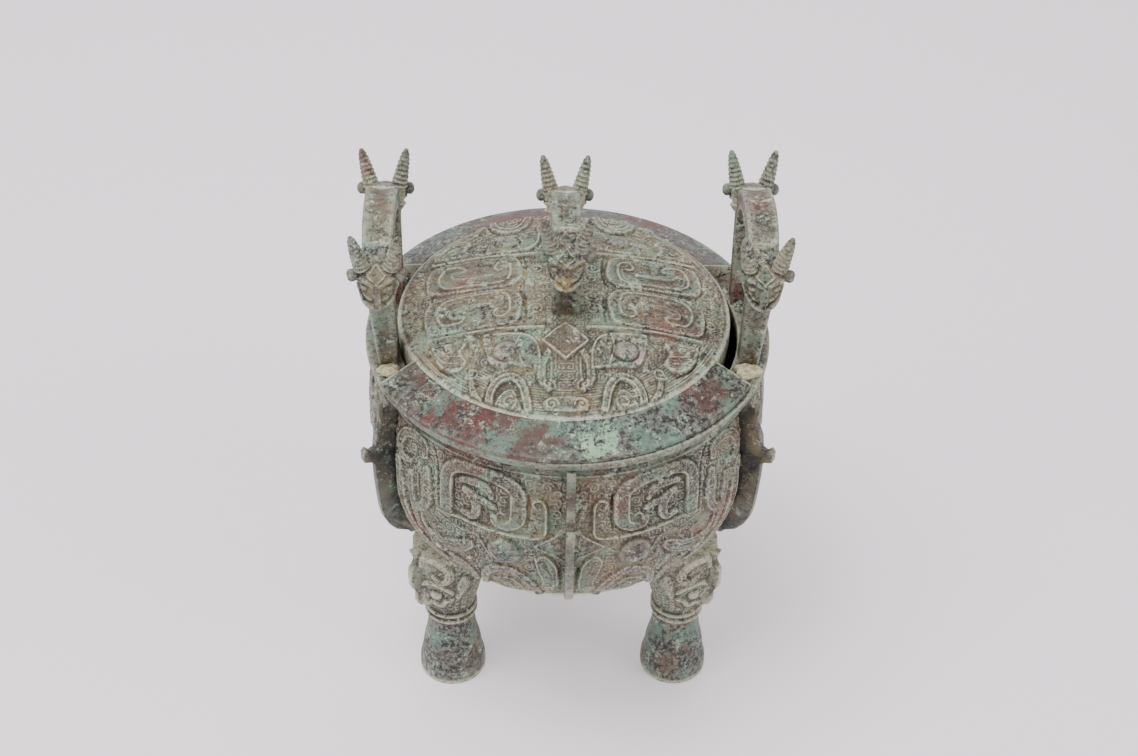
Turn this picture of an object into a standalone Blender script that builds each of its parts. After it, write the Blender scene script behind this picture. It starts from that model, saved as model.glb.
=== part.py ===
"""A bronze ding: a round bowl on three legs with two loop handles on its rim, and a lid with a loop handle.

Metres, +Z up. The origin is on the floor under the bowl's centre, and the front mask faces -Y.
"""
import bpy
import bmesh
from math import cos, hypot, pi, radians, sin, sqrt
from mathutils import Vector

for old in list(bpy.data.objects):
    bpy.data.objects.remove(old, do_unlink=True)

# Bowl
RIM_HEIGHT = 0.2072         # the rim's flat top above the floor
RIM_RADIUS = 0.1000
RIM_THICKNESS = 0.0052
RIM_CHAMFER = 0.0012        # along the rim's lower edge
MOUTH_RADIUS = 0.0840
MOUTH_LIP = 0.0008          # how far the mouth's upright wall runs on below the rim
NECK_RADIUS = 0.0935
BELLY_RADIUS = 0.0985
BELLY_DROP = 0.0470         # from the rim's top down to the widest place
BELLY_DEPTH = 0.0870        # from the widest place down to the lowest
BELLY_SQUARENESS = 2.5      # 2 is an ellipse, more is fuller
WALL = 0.0036

# Legs
FOOT_CIRCLE = 0.0700        # from the bowl's axis to a leg's axis
FOOT_RADIUS = 0.0178
WAIST_RADIUS = 0.0126
ROOT_RADIUS = 0.0185
ROOT_LAP = 0.0030           # how far a leg's thickest place runs on above the belly's underside there
RING_HEIGHT = 0.0490        # the upper of the two rings round a leg
RING_PROUD = 0.0013
LOWER_RING_DROP = 0.0050    # from the upper ring's middle down to the lower one

# Flanges
FLANGE_PAST_RIM = 0.0045    # how far the flanges stand out past the rim's edge
FLANGE_THICKNESS = 0.0042
FLANGE_TOP_DROP = 0.0062    # below the rim's top
FLANGE_LENGTH = 0.0890
SPUR_PROUD = 0.0065         # the middle spur and the top hook, past the flange's edge
LEG_FLANGE_PROUD = 0.0050
FLANGE_LAP = 0.0004         # how far a flange's inner top runs up into the rim

# Relief
RELIEF_PROUD = 0.0015
RELIEF_SUNK = 0.0012
EYE_RADIUS = 0.0048
EYE_PROUD = 0.0035
LID_EYE_PROUD = 0.0028
LEG_EYE_RADIUS = 0.0030
STROKE_WIDTH = 0.0046

# Handles on the rim
HANDLE_CLEARANCE = 0.0006   # between a handle's legs and the lid's notch
HANDLE_FOOT_WIDTH = 0.0095
HANDLE_TOP_WIDTH = 0.0150
HANDLE_HEIGHT = 0.0740      # above the rim's top
HANDLE_HALF_SPAN = 0.0340   # outer half length, front to back, at the shoulders
HANDLE_FOOT_HALF_SPAN = 0.0290
HANDLE_BAR = 0.0105
LOOP_SHOULDER = 0.62        # where a loop's legs bend over, as a share of its height
HANDLE_BROW = 0.86          # the heads' brows, as a share of the handle's height

# Lid
SEAT_GAP = 0.0003
BRIM_THICKNESS = 0.0030
RING_RADIUS = 0.0816        # where the brim meets the dome
BRIM_RISE = 0.0066
DOME_RISE = 0.0150
LID_WALL = 0.0028
TONGUE_CLEARANCE = 0.0026
TONGUE_THICKNESS = 0.0028
TONGUE_DEPTH = 0.0060
NOTCH_HALF_ANGLE = 28.0
NOTCH_LEDGE = 0.0002        # what a notch leaves of the brim outside the dome
LID_SHIFT = 0.0020          # the lid lies a little to the left
LID_HANDLE_WIDTH = 0.0135
LID_HANDLE_HEIGHT = 0.0500  # above the dome's top
LID_HANDLE_HALF_SPAN = 0.0230
LID_HANDLE_BAR = 0.0090
LID_HANDLE_SPREAD = 0.0020  # how much wider each half is at the shoulder than at the foot
LID_HANDLE_BROW = 0.84
DOME_STEP = 0.0006          # down from the brim to the dome's edge
DOME_STEP_WIDTH = 0.0012

# Animal heads
HEAD_WIDTH = 0.0200
HEAD_HEIGHT = 0.0225
HEAD_PROUD = 0.0085
HORN_LENGTH = 0.0180
HORN_RADIUS = 0.0036
HORN_RINGS = 3
EAR_LENGTH = 0.0068
HEAD_EYE_RADIUS = 0.0019
HEAD_PLACE = 0.93           # how far out on a loop's half span the heads stand

SEGMENTS = 36
LEG_AZIMUTHS = (-60.0, 60.0, 180.0)
FLANGE_AZIMUTHS = (0.0, 60.0, 120.0, 180.0, 240.0, 300.0)
MASK_AZIMUTHS = (0.0, 120.0, 240.0)


def bronze(name, colour, roughness):
    """A bronze finish for one casting."""
    material = bpy.data.materials.new(name)
    material.use_nodes = True
    shader = material.node_tree.nodes["Principled BSDF"]
    shader.inputs["Base Color"].default_value = (*colour, 1.0)
    shader.inputs["Roughness"].default_value = roughness
    shader.inputs["Metallic"].default_value = 0.35
    return material


def new_object(name, bm):
    """An object from a bmesh, with its faces pointing out."""
    bmesh.ops.triangulate(bm, faces=[face for face in bm.faces if len(face.verts) > 4])
    bmesh.ops.recalc_face_normals(bm, faces=bm.faces)
    mesh = bpy.data.meshes.new(name)
    bm.to_mesh(mesh)
    bm.free()
    obj = bpy.data.objects.new(name, mesh)
    bpy.context.scene.collection.objects.link(obj)
    return obj


def add_rings(bm, rings):
    """Joins rings of points into a tube, with both ends capped."""
    rows = [[bm.verts.new(point) for point in ring] for ring in rings]
    count = len(rows[0])
    for low, high in zip(rows, rows[1:]):
        for i in range(count):
            j = (i + 1) % count
            bm.faces.new((low[i], low[j], high[j], high[i]))
    bm.faces.new(list(reversed(rows[0])))
    bm.faces.new(rows[-1])


def turned(name, outline, segments, axis_x=0.0, axis_y=0.0):
    """A solid turned from an outline of (radius, height) that starts and ends on the axis."""
    bm = bmesh.new()
    poles = [bm.verts.new((axis_x, axis_y, height)) for height in (outline[0][1], outline[-1][1])]
    rows = []
    for radius, height in outline[1:-1]:
        angles = [2 * pi * (i + 0.5) / segments for i in range(segments)]
        ring = [(axis_x + radius * cos(a), axis_y + radius * sin(a), height) for a in angles]
        rows.append([bm.verts.new(point) for point in ring])
    for i in range(segments):
        j = (i + 1) % segments
        bm.faces.new((poles[0], rows[0][j], rows[0][i]))
        bm.faces.new((poles[1], rows[-1][i], rows[-1][j]))
        for low, high in zip(rows, rows[1:]):
            bm.faces.new((low[i], low[j], high[j], high[i]))
    return new_object(name, bm)


def joined(name, pieces):
    """One object from several pieces."""
    bm = bmesh.new()
    for piece in pieces:
        bm.from_mesh(piece.data)
        bpy.data.objects.remove(piece, do_unlink=True)
    return new_object(name, bm)


def boolean(base, other, operation, overlapping=False):
    """Unites with another object or cuts with it. overlapping is for one whose own pieces overlap."""
    other.hide_render = True
    other.display_type = "WIRE"
    modifier = base.modifiers.new("join", "BOOLEAN")
    modifier.operation = operation
    modifier.solver = "EXACT"
    modifier.use_self = overlapping
    modifier.object = other
    graph = bpy.context.evaluated_depsgraph_get()
    mesh = bpy.data.meshes.new_from_object(base.evaluated_get(graph))
    base.modifiers.remove(modifier)
    base.data = mesh
    bpy.data.objects.remove(other, do_unlink=True)
    return base


def unite(base, *others):
    for other in others:
        boolean(base, other, "UNION")
    return base


# The bowl's profile

def belly_centre():
    return RIM_HEIGHT - BELLY_DROP


def belly_radius(height, wall=0.0):
    """The bowl's outer radius at a height, or its inner one for a wall."""
    centre = belly_centre()
    if height >= centre:
        share = (height - centre) / (BELLY_DROP - RIM_THICKNESS)
        return BELLY_RADIUS - wall - (BELLY_RADIUS - NECK_RADIUS) * share ** 2
    share = min(1.0, (centre - height) / (BELLY_DEPTH - wall))
    return (BELLY_RADIUS - wall) * (1.0 - share ** BELLY_SQUARENESS) ** (1.0 / BELLY_SQUARENESS)


def belly_height(radius):
    """The height of the bowl's outside, below its widest place, at a radius."""
    share = (1.0 - (radius / BELLY_RADIUS) ** BELLY_SQUARENESS) ** (1.0 / BELLY_SQUARENESS)
    return belly_centre() - BELLY_DEPTH * share


def root_height():
    """Where a leg is thickest, under the belly."""
    return belly_height(FOOT_CIRCLE)


def flange_proud():
    """How far a flange stands out from the bowl."""
    return RIM_RADIUS + FLANGE_PAST_RIM - NECK_RADIUS


def belly_rows(wall, count):
    """Heights and radii from the neck down to the pole."""
    rows = []
    top = RIM_HEIGHT - RIM_THICKNESS
    neck_rows = 2
    for i in range(neck_rows):
        height = top + (belly_centre() - top) * i / neck_rows
        rows.append((belly_radius(height, wall), height))
    for i in range(count):
        height = belly_centre() - (BELLY_DEPTH - wall) * sin(0.5 * pi * i / count)
        rows.append((belly_radius(height, wall), height))
    rows.append((0.0, belly_centre() - BELLY_DEPTH + wall))
    return rows


def belly_point(azimuth, height, lift):
    """A point over the bowl's outside, lifted square to it. Azimuth 0 is the front."""
    step = 0.0005
    slope = (belly_radius(height + step) - belly_radius(height - step)) / (2.0 * step)
    radius = belly_radius(height) + lift / hypot(1.0, slope)
    height = height - lift * slope / hypot(1.0, slope)
    a = radians(azimuth)
    return Vector((radius * sin(a), -radius * cos(a), height))


def dome_height(radius):
    """The top of the lid's dome above the brim's upper edge."""
    share = min(1.0, radius / RING_RADIUS)
    return BRIM_RISE + DOME_RISE * (1.0 - share ** 2)


def brim_top():
    return RIM_HEIGHT + SEAT_GAP + BRIM_THICKNESS


def dome_point(across, along, lift):
    """A point over the lid, from its middle: across is +X and along is +Y."""
    radius = hypot(across, along)
    slope = -2.0 * DOME_RISE * radius / RING_RADIUS ** 2
    out = Vector((across, along, 0.0)).normalized() if radius > 0.0 else Vector((0.0, 0.0, 0.0))
    square = (Vector((0.0, 0.0, 1.0)) - out * slope).normalized()
    return Vector((across - LID_SHIFT, along, brim_top() + dome_height(radius))) + square * lift


# Raised strokes, for the masks and dragons

def stroke(name, points, width, place):
    """A raised band along a path on a surface. place turns (across, up, lift) into a point."""
    path = [Vector(point) for point in points]
    bm = bmesh.new()
    rings = []
    for i, point in enumerate(path):
        along = path[min(i + 1, len(path) - 1)] - path[max(i - 1, 0)]
        side = Vector((-along.y, along.x)).normalized() * width * 0.5
        end = i in (0, len(path) - 1)
        foot = side * (0.7 if end else 1.0)
        top = side * (0.35 if end else 0.6)
        rings.append([place(*(point - foot), -RELIEF_SUNK), place(*(point + foot), -RELIEF_SUNK),
                      place(*(point + top), RELIEF_PROUD), place(*(point - top), RELIEF_PROUD)])
    add_rings(bm, rings)
    return new_object(name, bm)


def boss(name, centre, half_across, half_up, place, proud, sides=8):
    """A low oval boss on a surface."""
    bm = bmesh.new()
    rings = []
    for share, lift in ((1.0, -RELIEF_SUNK), (1.0, 0.15 * proud), (0.62, 0.85 * proud)):
        ring = []
        for i in range(sides):
            a = 2.0 * pi * i / sides
            across = centre[0] + share * half_across * cos(a)
            up = centre[1] + share * half_up * sin(a)
            ring.append(place(across, up, lift))
        rings.append(ring)
    add_rings(bm, rings)
    return new_object(name, bm)


def belly_place(azimuth, side):
    """Places (across, up) on the bowl, mirrored for side -1. Up is counted from the rim's top."""
    def place(across, up, lift):
        return belly_point(azimuth + side * across / BELLY_RADIUS * 180.0 / pi, RIM_HEIGHT + up, lift)
    return place


def half_mask(azimuth, side):
    """One half of a mask: horn, brow, eye and jaw, and the dragon beside it."""
    place = belly_place(azimuth, side)
    r = BELLY_RADIUS
    d = BELLY_DROP + BELLY_DEPTH
    horn = [(0.27, -0.35), (0.27, -0.17), (0.60, -0.14), (0.64, -0.35), (0.48, -0.38), (0.42, -0.26)]
    brow = [(0.10, -0.25), (0.14, -0.39), (0.40, -0.435), (0.60, -0.425)]
    jaw = [(0.13, -0.66), (0.24, -0.56), (0.42, -0.575), (0.50, -0.66)]
    dragon = [(0.88, -0.16), (0.76, -0.18), (0.78, -0.33), (0.90, -0.40), (0.80, -0.55)]
    pieces = []
    bands = (("horn", horn, 1.0), ("brow", brow, 0.74), ("jaw", jaw, 1.0), ("dragon", dragon, 1.0))
    for label, shape, share in bands:
        pieces.append(stroke(label, [(r * a, d * b) for a, b in shape], share * STROKE_WIDTH, place))
    pieces.append(boss("eye", (r * 0.32, d * -0.495), EYE_RADIUS * 1.25, EYE_RADIUS * 0.9, place, EYE_PROUD))
    return pieces


def flange(azimuth):
    """One of the six upright flanges, with its top hook and middle spur."""
    top = RIM_HEIGHT - FLANGE_TOP_DROP
    out = flange_proud()
    outline = [(-WALL * 0.5, 0.02), (0.45 * out, 0.02), (0.55 * out, -0.04), (out, -0.04)]
    outline += [(out + 0.2 * SPUR_PROUD, 0.03), (0.85 * out, 0.05), (0.8 * out, -0.12), (out, -0.17)]
    outline += [(out, -0.29), (out + SPUR_PROUD, -0.27), (out + 0.9 * SPUR_PROUD, -0.345), (out, -0.37)]
    outline += [(0.95 * out, -0.62), (out, -0.80), (0.75 * out, -0.93), (0.35 * out, -0.97)]
    outline += [(0.3 * out, -1.0), (-WALL * 0.5, -1.0)]
    a = radians(azimuth)
    across = Vector((cos(a), sin(a), 0.0)) * (FLANGE_THICKNESS * 0.5)
    bm = bmesh.new()
    rings = []
    for side in (-1.0, 1.0):
        ring = []
        for lift, share in outline:
            height = top + min(share, 0.0) * FLANGE_LENGTH
            radius = belly_radius(height) + lift
            height = top + share * FLANGE_LENGTH if share > 0.0 else height
            if lift < 0.5 * out:
                height = min(height, RIM_HEIGHT - RIM_THICKNESS + FLANGE_LAP)
            ring.append(Vector((radius * sin(a), -radius * cos(a), height)) + across * side)
        rings.append(ring)
    add_rings(bm, rings)
    return new_object("flange", bm)


def leg(azimuth):
    """A leg with a flared foot, two rings at its waist and a mask at its root."""
    a = radians(azimuth)
    x = FOOT_CIRCLE * sin(a)
    y = -FOOT_CIRCLE * cos(a)
    root = root_height()
    top = root + 0.4 * ROOT_RADIUS
    ring = RING_PROUD
    low = RING_HEIGHT
    outline = [(0.0, 0.0), (0.93 * FOOT_RADIUS, 0.0), (FOOT_RADIUS, 0.0030), (0.97 * FOOT_RADIUS, 0.0100)]
    outline += [(0.5 * (FOOT_RADIUS + WAIST_RADIUS), 0.42 * low), (1.01 * WAIST_RADIUS, 0.72 * low)]
    gap = LOWER_RING_DROP
    outline += [(WAIST_RADIUS + ring, low - gap), (WAIST_RADIUS, low - 0.6 * gap)]
    outline += [(WAIST_RADIUS + ring, low - 0.2 * gap), (WAIST_RADIUS + ring, low + 0.24 * gap)]
    outline += [(1.03 * WAIST_RADIUS, low + 0.48 * gap)]
    outline += [(0.5 * (WAIST_RADIUS + ROOT_RADIUS), low + 0.33 * (root - low))]
    outline += [(ROOT_RADIUS, low + 0.75 * (root - low)), (ROOT_RADIUS, root + ROOT_LAP), (0.0, top)]
    body = turned("leg", outline, 12, x, y)

    def place(across, up, lift):
        share = (up - low) / (root - low)
        radius = WAIST_RADIUS + (ROOT_RADIUS - WAIST_RADIUS) * min(1.0, max(0.0, share * 1.25)) + lift
        turn = a + across / ROOT_RADIUS
        return Vector((x + radius * sin(turn), y - radius * cos(turn), up))

    height = root - low
    marks = []
    for side in (-1.0, 1.0):
        spot = (side * 0.62 * ROOT_RADIUS, low + 0.50 * height)
        eye = LEG_EYE_RADIUS
        marks.append(boss("leg eye", spot, eye, 0.87 * eye, place, 0.87 * eye, 6))
        for label, shape, share in (("leg horn", ((0.30, 0.76), (0.75, 0.98), (1.20, 0.72)), 0.74),
                                    ("leg jaw", ((0.40, 0.18), (0.85, 0.26)), 0.65)):
            curve = [(side * wide * ROOT_RADIUS, low + up * height) for wide, up in shape]
            marks.append(stroke(label, curve, share * STROKE_WIDTH, place))
    plate_out = ROOT_RADIUS + LEG_FLANGE_PROUD
    plate = [(0.5 * WAIST_RADIUS, 0.10), (1.05 * WAIST_RADIUS, 0.10), (0.86 * plate_out, 0.22)]
    plate += [(0.90 * plate_out, 0.42), (0.99 * plate_out, 0.50), (plate_out, 0.85), (0.88 * plate_out, 0.98)]
    plate += [(0.96 * plate_out, 1.16), (0.5 * WAIST_RADIUS, 1.16)]
    across = Vector((cos(a), sin(a), 0.0)) * (FLANGE_THICKNESS * 0.5)
    bm = bmesh.new()
    outer = [Vector((x + out * sin(a), y - out * cos(a), low + share * height)) for out, share in plate]
    add_rings(bm, [[point + across * side for point in outer] for side in (-1.0, 1.0)])
    plate_object = new_object("leg flange", bm)
    unite(body, joined("leg marks", marks), plate_object)
    return body


def loop(name, foot_z, top_z, half_span, foot_half_span, bar, faces_at, centre_x):
    """An upright loop, front to back. faces_at gives its two X faces at a height."""
    outer = []
    inner = []
    shoulder = foot_z + LOOP_SHOULDER * (top_z - foot_z)
    count = 8
    for i in range(2):
        t = i / 2.0
        y = foot_half_span + (half_span - foot_half_span) * t
        z = foot_z + (shoulder - foot_z) * t
        outer.append((y, z))
        inner.append((y - bar, z))
    for i in range(count + 1):
        t = pi * i / count
        outer.append((half_span * cos(t), shoulder + (top_z - shoulder) * sin(t) ** 0.8))
        inner.append(((half_span - bar) * cos(t), shoulder + (top_z - 0.95 * bar - shoulder) * sin(t) ** 0.8))
    for i in range(1, -1, -1):
        outer.append((-outer[i][0], outer[i][1]))
        inner.append((-inner[i][0], inner[i][1]))
    bm = bmesh.new()
    rings = []
    for (yo, zo), (yi, zi) in zip(outer, inner):
        near_o, far_o = faces_at(zo)
        near_i, far_i = faces_at(zi)
        rings.append([Vector((centre_x + near_i, yi, zi)), Vector((centre_x + far_i, yi, zi)),
                      Vector((centre_x + far_o, yo, zo)), Vector((centre_x + near_o, yo, zo))])
    add_rings(bm, rings)
    return new_object(name, bm)


def cone(name, rows, sides):
    """A tapering piece along rows of (centre, direction, radius), such as a horn or an ear."""
    bm = bmesh.new()
    rings = []
    for centre, direction, radius in rows:
        direction = direction.normalized()
        first = direction.cross(Vector((0.0, 1.0, 0.0))).normalized()
        second = direction.cross(first)
        rings.append([centre + radius * (first * cos(2 * pi * i / sides) + second * sin(2 * pi * i / sides))
                      for i in range(sides)])
    add_rings(bm, rings)
    return new_object(name, bm)


def head(centre_x, face_y, brow_z, forward, base):
    """An animal head on a loop's shoulder: muzzle, ears and two ringed horns. forward is -1 or 1 along Y."""
    bm = bmesh.new()
    rings = []
    half = 0.5 * HEAD_WIDTH
    for drop, wide, proud in ((-0.16, 0.62, 0.30), (0.14, 1.0, 0.92), (0.45, 0.80, 0.92), (0.80, 0.64, 1.15),
                              (1.0, 0.45, 0.75)):
        z = brow_z - drop * HEAD_HEIGHT
        ring = []
        for i in range(7):
            a = pi * i / 6.0
            out = face_y + forward * HEAD_PROUD * proud * sin(a)
            ring.append(Vector((centre_x + half * wide * cos(a), out, z)))
        ring.append(Vector((centre_x - 0.5 * half, face_y - forward * 0.3 * HEAD_PROUD, z)))
        ring.append(Vector((centre_x + 0.5 * half, face_y - forward * 0.3 * HEAD_PROUD, z)))
        rings.append(ring)
    add_rings(bm, rings)
    pieces = [new_object("head", bm)]
    for side in (-1.0, 1.0):
        beside = centre_x + side * 0.36 * HEAD_WIDTH
        root = Vector((beside, face_y + forward * 0.25 * HEAD_PROUD, brow_z + 0.02 * HEAD_HEIGHT))
        lean = Vector((side * 0.22, forward * 0.16, 1.0)).normalized()
        rows = [(root - lean * HORN_RADIUS, lean, HORN_RADIUS)]
        for ring in range(HORN_RINGS):
            share = ring / HORN_RINGS
            radius = HORN_RADIUS * (1.0 - 0.55 * share)
            step = HORN_LENGTH / HORN_RINGS
            rows.append((root + lean * (HORN_LENGTH * share + 0.15 * step), lean, radius))
            rows.append((root + lean * (HORN_LENGTH * share + 0.75 * step), lean, radius * 0.80))
        rows.append((root + lean * HORN_LENGTH * 1.03, lean, 0.22 * HORN_RADIUS))
        pieces.append(cone("horn", rows, 5))
        reach = Vector((side * 1.0, forward * 0.25, -0.15)).normalized()
        start = Vector((beside, face_y + forward * 0.35 * HEAD_PROUD, brow_z - 0.17 * HEAD_HEIGHT))
        length = EAR_LENGTH
        rows = [(start, reach, 0.36 * length), (start + reach * 0.6 * length, reach, 0.42 * length),
                (start + reach * length, reach, 0.20 * length)]
        pieces.append(cone("ear", rows, 5))
        inward = centre_x + side * 0.24 * HEAD_WIDTH
        eye = Vector((inward, face_y + forward * 0.74 * HEAD_PROUD, brow_z - 0.36 * HEAD_HEIGHT))
        ball = Vector((side * 0.35, forward, 0.1)).normalized()
        size = HEAD_EYE_RADIUS
        rows = [(eye - ball * 0.63 * size, ball, size), (eye + ball * 0.95 * size, ball, 0.63 * size)]
        pieces.append(cone("head eye", rows, 5))
    return boolean(base, joined("head", pieces), "UNION", True)


def handle_inner_x():
    """The handles' inner faces stand just clear of the lid where it comes nearest to their legs."""
    leg_inside = HANDLE_FOOT_HALF_SPAN - HANDLE_BAR
    return LID_SHIFT + sqrt((RING_RADIUS + NOTCH_LEDGE) ** 2 - leg_inside ** 2) + HANDLE_CLEARANCE


def rim_handle(side):
    """One of the two loops that stand on the rim. Its outer face leans out."""
    foot = RIM_HEIGHT - 0.5 * RIM_THICKNESS
    top = RIM_HEIGHT + HANDLE_HEIGHT

    def faces_at(height):
        share = (height - foot) / (top - foot)
        width = HANDLE_FOOT_WIDTH + (HANDLE_TOP_WIDTH - HANDLE_FOOT_WIDTH) * share
        return side * handle_inner_x(), side * (handle_inner_x() + width)

    handle = loop("handle", foot, top, HANDLE_HALF_SPAN, HANDLE_FOOT_HALF_SPAN, HANDLE_BAR, faces_at, 0.0)
    brow = foot + HANDLE_BROW * (top - foot)
    near, far = faces_at(brow)
    for forward in (-1.0, 1.0):
        head(0.5 * (near + far), forward * HEAD_PLACE * HANDLE_HALF_SPAN, brow, forward, handle)
    return handle


def build_vessel():
    outer = belly_rows(0.0, 8)
    inner = belly_rows(WALL, 5)
    under = RIM_HEIGHT - RIM_THICKNESS
    outline = [outer[-1]] + list(reversed(outer[:-1]))
    outline += [(RIM_RADIUS - RIM_CHAMFER, under), (RIM_RADIUS, under + RIM_CHAMFER)]
    outline += [(RIM_RADIUS, RIM_HEIGHT), (MOUTH_RADIUS, RIM_HEIGHT)]
    outline += [(MOUTH_RADIUS, under - MOUTH_LIP), (inner[1][0], 0.5 * (under + inner[1][1]))]
    outline += inner[1:]
    vessel = turned("vessel", outline, SEGMENTS)
    unite(vessel, joined("flanges", [flange(azimuth) for azimuth in FLANGE_AZIMUTHS]))
    legs = joined("legs", [leg(azimuth) for azimuth in LEG_AZIMUTHS])
    middle = belly_rows(0.5 * WALL, 8)
    inside = turned("inside", list(reversed(middle)) + [(0.0, middle[0][1])], SEGMENTS)
    unite(vessel, boolean(legs, inside, "DIFFERENCE"))
    unite(vessel, joined("handles", [rim_handle(side) for side in (-1.0, 1.0)]))
    marks = []
    for azimuth in MASK_AZIMUTHS:
        for side in (-1.0, 1.0):
            marks += half_mask(azimuth, side)
    unite(vessel, joined("masks", marks))
    vessel.name = "vessel"
    return vessel


def lid_half_mask(front, side):
    """One half of a mask on the dome: horn, ear, eye and jaw."""
    def place(across, along, lift):
        return dome_point(side * across, front * along, lift)

    r = RING_RADIUS
    horn = [(0.56, -0.20), (0.33, -0.26), (0.32, -0.10), (0.79, -0.08), (0.78, -0.26)]
    brow = [(0.18, -0.36), (0.80, -0.36)]
    ear = [(0.58, -0.45), (0.74, -0.45), (0.70, -0.60), (0.58, -0.62)]
    jaw = [(0.21, -0.88), (0.22, -0.73), (0.38, -0.68), (0.48, -0.74)]
    pieces = []
    bands = (("horn", horn, 1.0), ("ear", ear, 0.87), ("jaw", jaw, 0.96), ("brow", brow, 0.65))
    for label, shape, share in bands:
        pieces.append(stroke(label, [(r * a, r * b) for a, b in shape], share * STROKE_WIDTH, place))
    half_across = EYE_RADIUS * 1.05
    half_along = EYE_RADIUS * 0.72
    pieces.append(boss("eye", (r * 0.34, r * -0.545), half_across, half_along, place, LID_EYE_PROUD))
    return pieces


def build_lid():
    edge = RIM_RADIUS
    low = RIM_HEIGHT + SEAT_GAP
    high = brim_top()
    tongue = MOUTH_RADIUS - TONGUE_CLEARANCE
    inside = tongue - TONGUE_THICKNESS
    rows = 5
    outline = []
    for i in range(rows):
        radius = RING_RADIUS * i / rows
        outline.append((radius, high + dome_height(radius)))
    outline += [(RING_RADIUS, high + BRIM_RISE - DOME_STEP)]
    outline += [(RING_RADIUS + DOME_STEP_WIDTH, high + BRIM_RISE), (edge, high), (edge, low)]
    outline += [(tongue, low), (tongue, low - TONGUE_DEPTH), (inside, low - TONGUE_DEPTH), (inside, low)]
    for i in range(rows - 1, -1, -1):
        radius = inside * i / rows
        outline.append((radius, high + dome_height(radius) - LID_WALL))
    lid = turned("lid", outline, SEGMENTS, -LID_SHIFT, 0.0)

    cutters = []
    for side in (-1.0, 1.0):
        bm = bmesh.new()
        half = radians(NOTCH_HALF_ANGLE)
        count = 10
        ring = []
        for i in range(count + 1):
            a = -half + 2.0 * half * i / count
            ring.append((side * (RING_RADIUS + NOTCH_LEDGE) * cos(a), (RING_RADIUS + NOTCH_LEDGE) * sin(a)))
        for i in range(count, -1, -1):
            a = -half + 2.0 * half * i / count
            ring.append((side * 1.3 * edge * cos(a), 1.3 * edge * sin(a)))
        heights = (low - 0.5 * SEAT_GAP, high + LID_HANDLE_HEIGHT)
        add_rings(bm, [[Vector((x - LID_SHIFT, y, z)) for x, y in ring] for z in heights])
        cutters.append(new_object("notch", bm))
    boolean(lid, joined("notches", cutters), "DIFFERENCE")

    foot = high + dome_height(LID_HANDLE_HALF_SPAN) - 0.5 * LID_WALL
    top = high + dome_height(0.0) + LID_HANDLE_HEIGHT
    foot_span = LID_HANDLE_HALF_SPAN - LID_HANDLE_SPREAD
    handle = loop("lid handle", foot, top, LID_HANDLE_HALF_SPAN, foot_span, LID_HANDLE_BAR,
                  lambda height: (-0.5 * LID_HANDLE_WIDTH, 0.5 * LID_HANDLE_WIDTH), -LID_SHIFT)
    brow = foot + LID_HANDLE_BROW * (top - foot)
    for forward in (-1.0, 1.0):
        head(-LID_SHIFT, forward * HEAD_PLACE * LID_HANDLE_HALF_SPAN, brow, forward, handle)
    unite(lid, handle)
    marks = []
    for front in (1.0, -1.0):
        middle = (0.0, -front * 0.50 * RING_RADIUS)
        half_across = 0.13 * RING_RADIUS
        half_along = 0.15 * RING_RADIUS
        marks.append(boss("forehead", middle, half_across, half_along, dome_point, RELIEF_PROUD, 4))
        for side in (-1.0, 1.0):
            marks += lid_half_mask(front, side)
    unite(lid, joined("lid masks", marks))
    lid.name = "lid"
    return lid


def finish(obj, material):
    """Shades a casting smooth over its round forms and gives it its material."""
    obj.data.materials.clear()
    obj.data.materials.append(material)
    obj.data.shade_smooth()
    obj.data.set_sharp_from_angle(angle=radians(35.0))


finish(build_vessel(), bronze("vessel bronze", (0.19, 0.22, 0.17), 0.62))
finish(build_lid(), bronze("lid bronze", (0.20, 0.23, 0.18), 0.60))
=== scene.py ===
import math

import bmesh
import bpy
import numpy as np
from mathutils import Matrix, Vector


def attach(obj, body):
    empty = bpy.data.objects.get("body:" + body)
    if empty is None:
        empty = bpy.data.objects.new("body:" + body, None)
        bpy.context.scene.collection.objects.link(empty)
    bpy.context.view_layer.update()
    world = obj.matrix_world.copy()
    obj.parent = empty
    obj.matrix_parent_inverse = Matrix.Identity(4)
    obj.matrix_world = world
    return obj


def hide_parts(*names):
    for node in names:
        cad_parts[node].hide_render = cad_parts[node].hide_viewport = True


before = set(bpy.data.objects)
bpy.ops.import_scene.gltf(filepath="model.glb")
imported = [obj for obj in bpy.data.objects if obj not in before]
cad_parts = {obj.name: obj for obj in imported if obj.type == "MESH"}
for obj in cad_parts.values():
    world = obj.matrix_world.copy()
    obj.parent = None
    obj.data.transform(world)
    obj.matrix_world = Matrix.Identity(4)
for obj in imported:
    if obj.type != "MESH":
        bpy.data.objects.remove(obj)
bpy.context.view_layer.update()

# The bowl is one bronze casting from a mould whose three outer sections met under the flanges.
# Each section carries a mask, split by the flange at its middle, with a dragon standing at either side,
# raised from a ground of fine squared spirals.
millimetre = 0.001
rim_height = 0.2072
rim_radius = 0.1000
rim_thickness = 0.0052
mouth_radius = 0.0840
neck_radius = 0.0935
belly_radius = 0.0985
belly_drop = 0.0470
belly_depth = 0.0870
belly_squareness = 2.5
bowl_wall = 0.0036
neck_height = rim_height - rim_thickness
widest_height = rim_height - belly_drop
brim_edge_height = 0.2103
band_step = 0.00050
band_drop = 0.1010
section_angles = {"front": 0.0, "right": 120.0, "left": 240.0}
section_columns = 396


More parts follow.
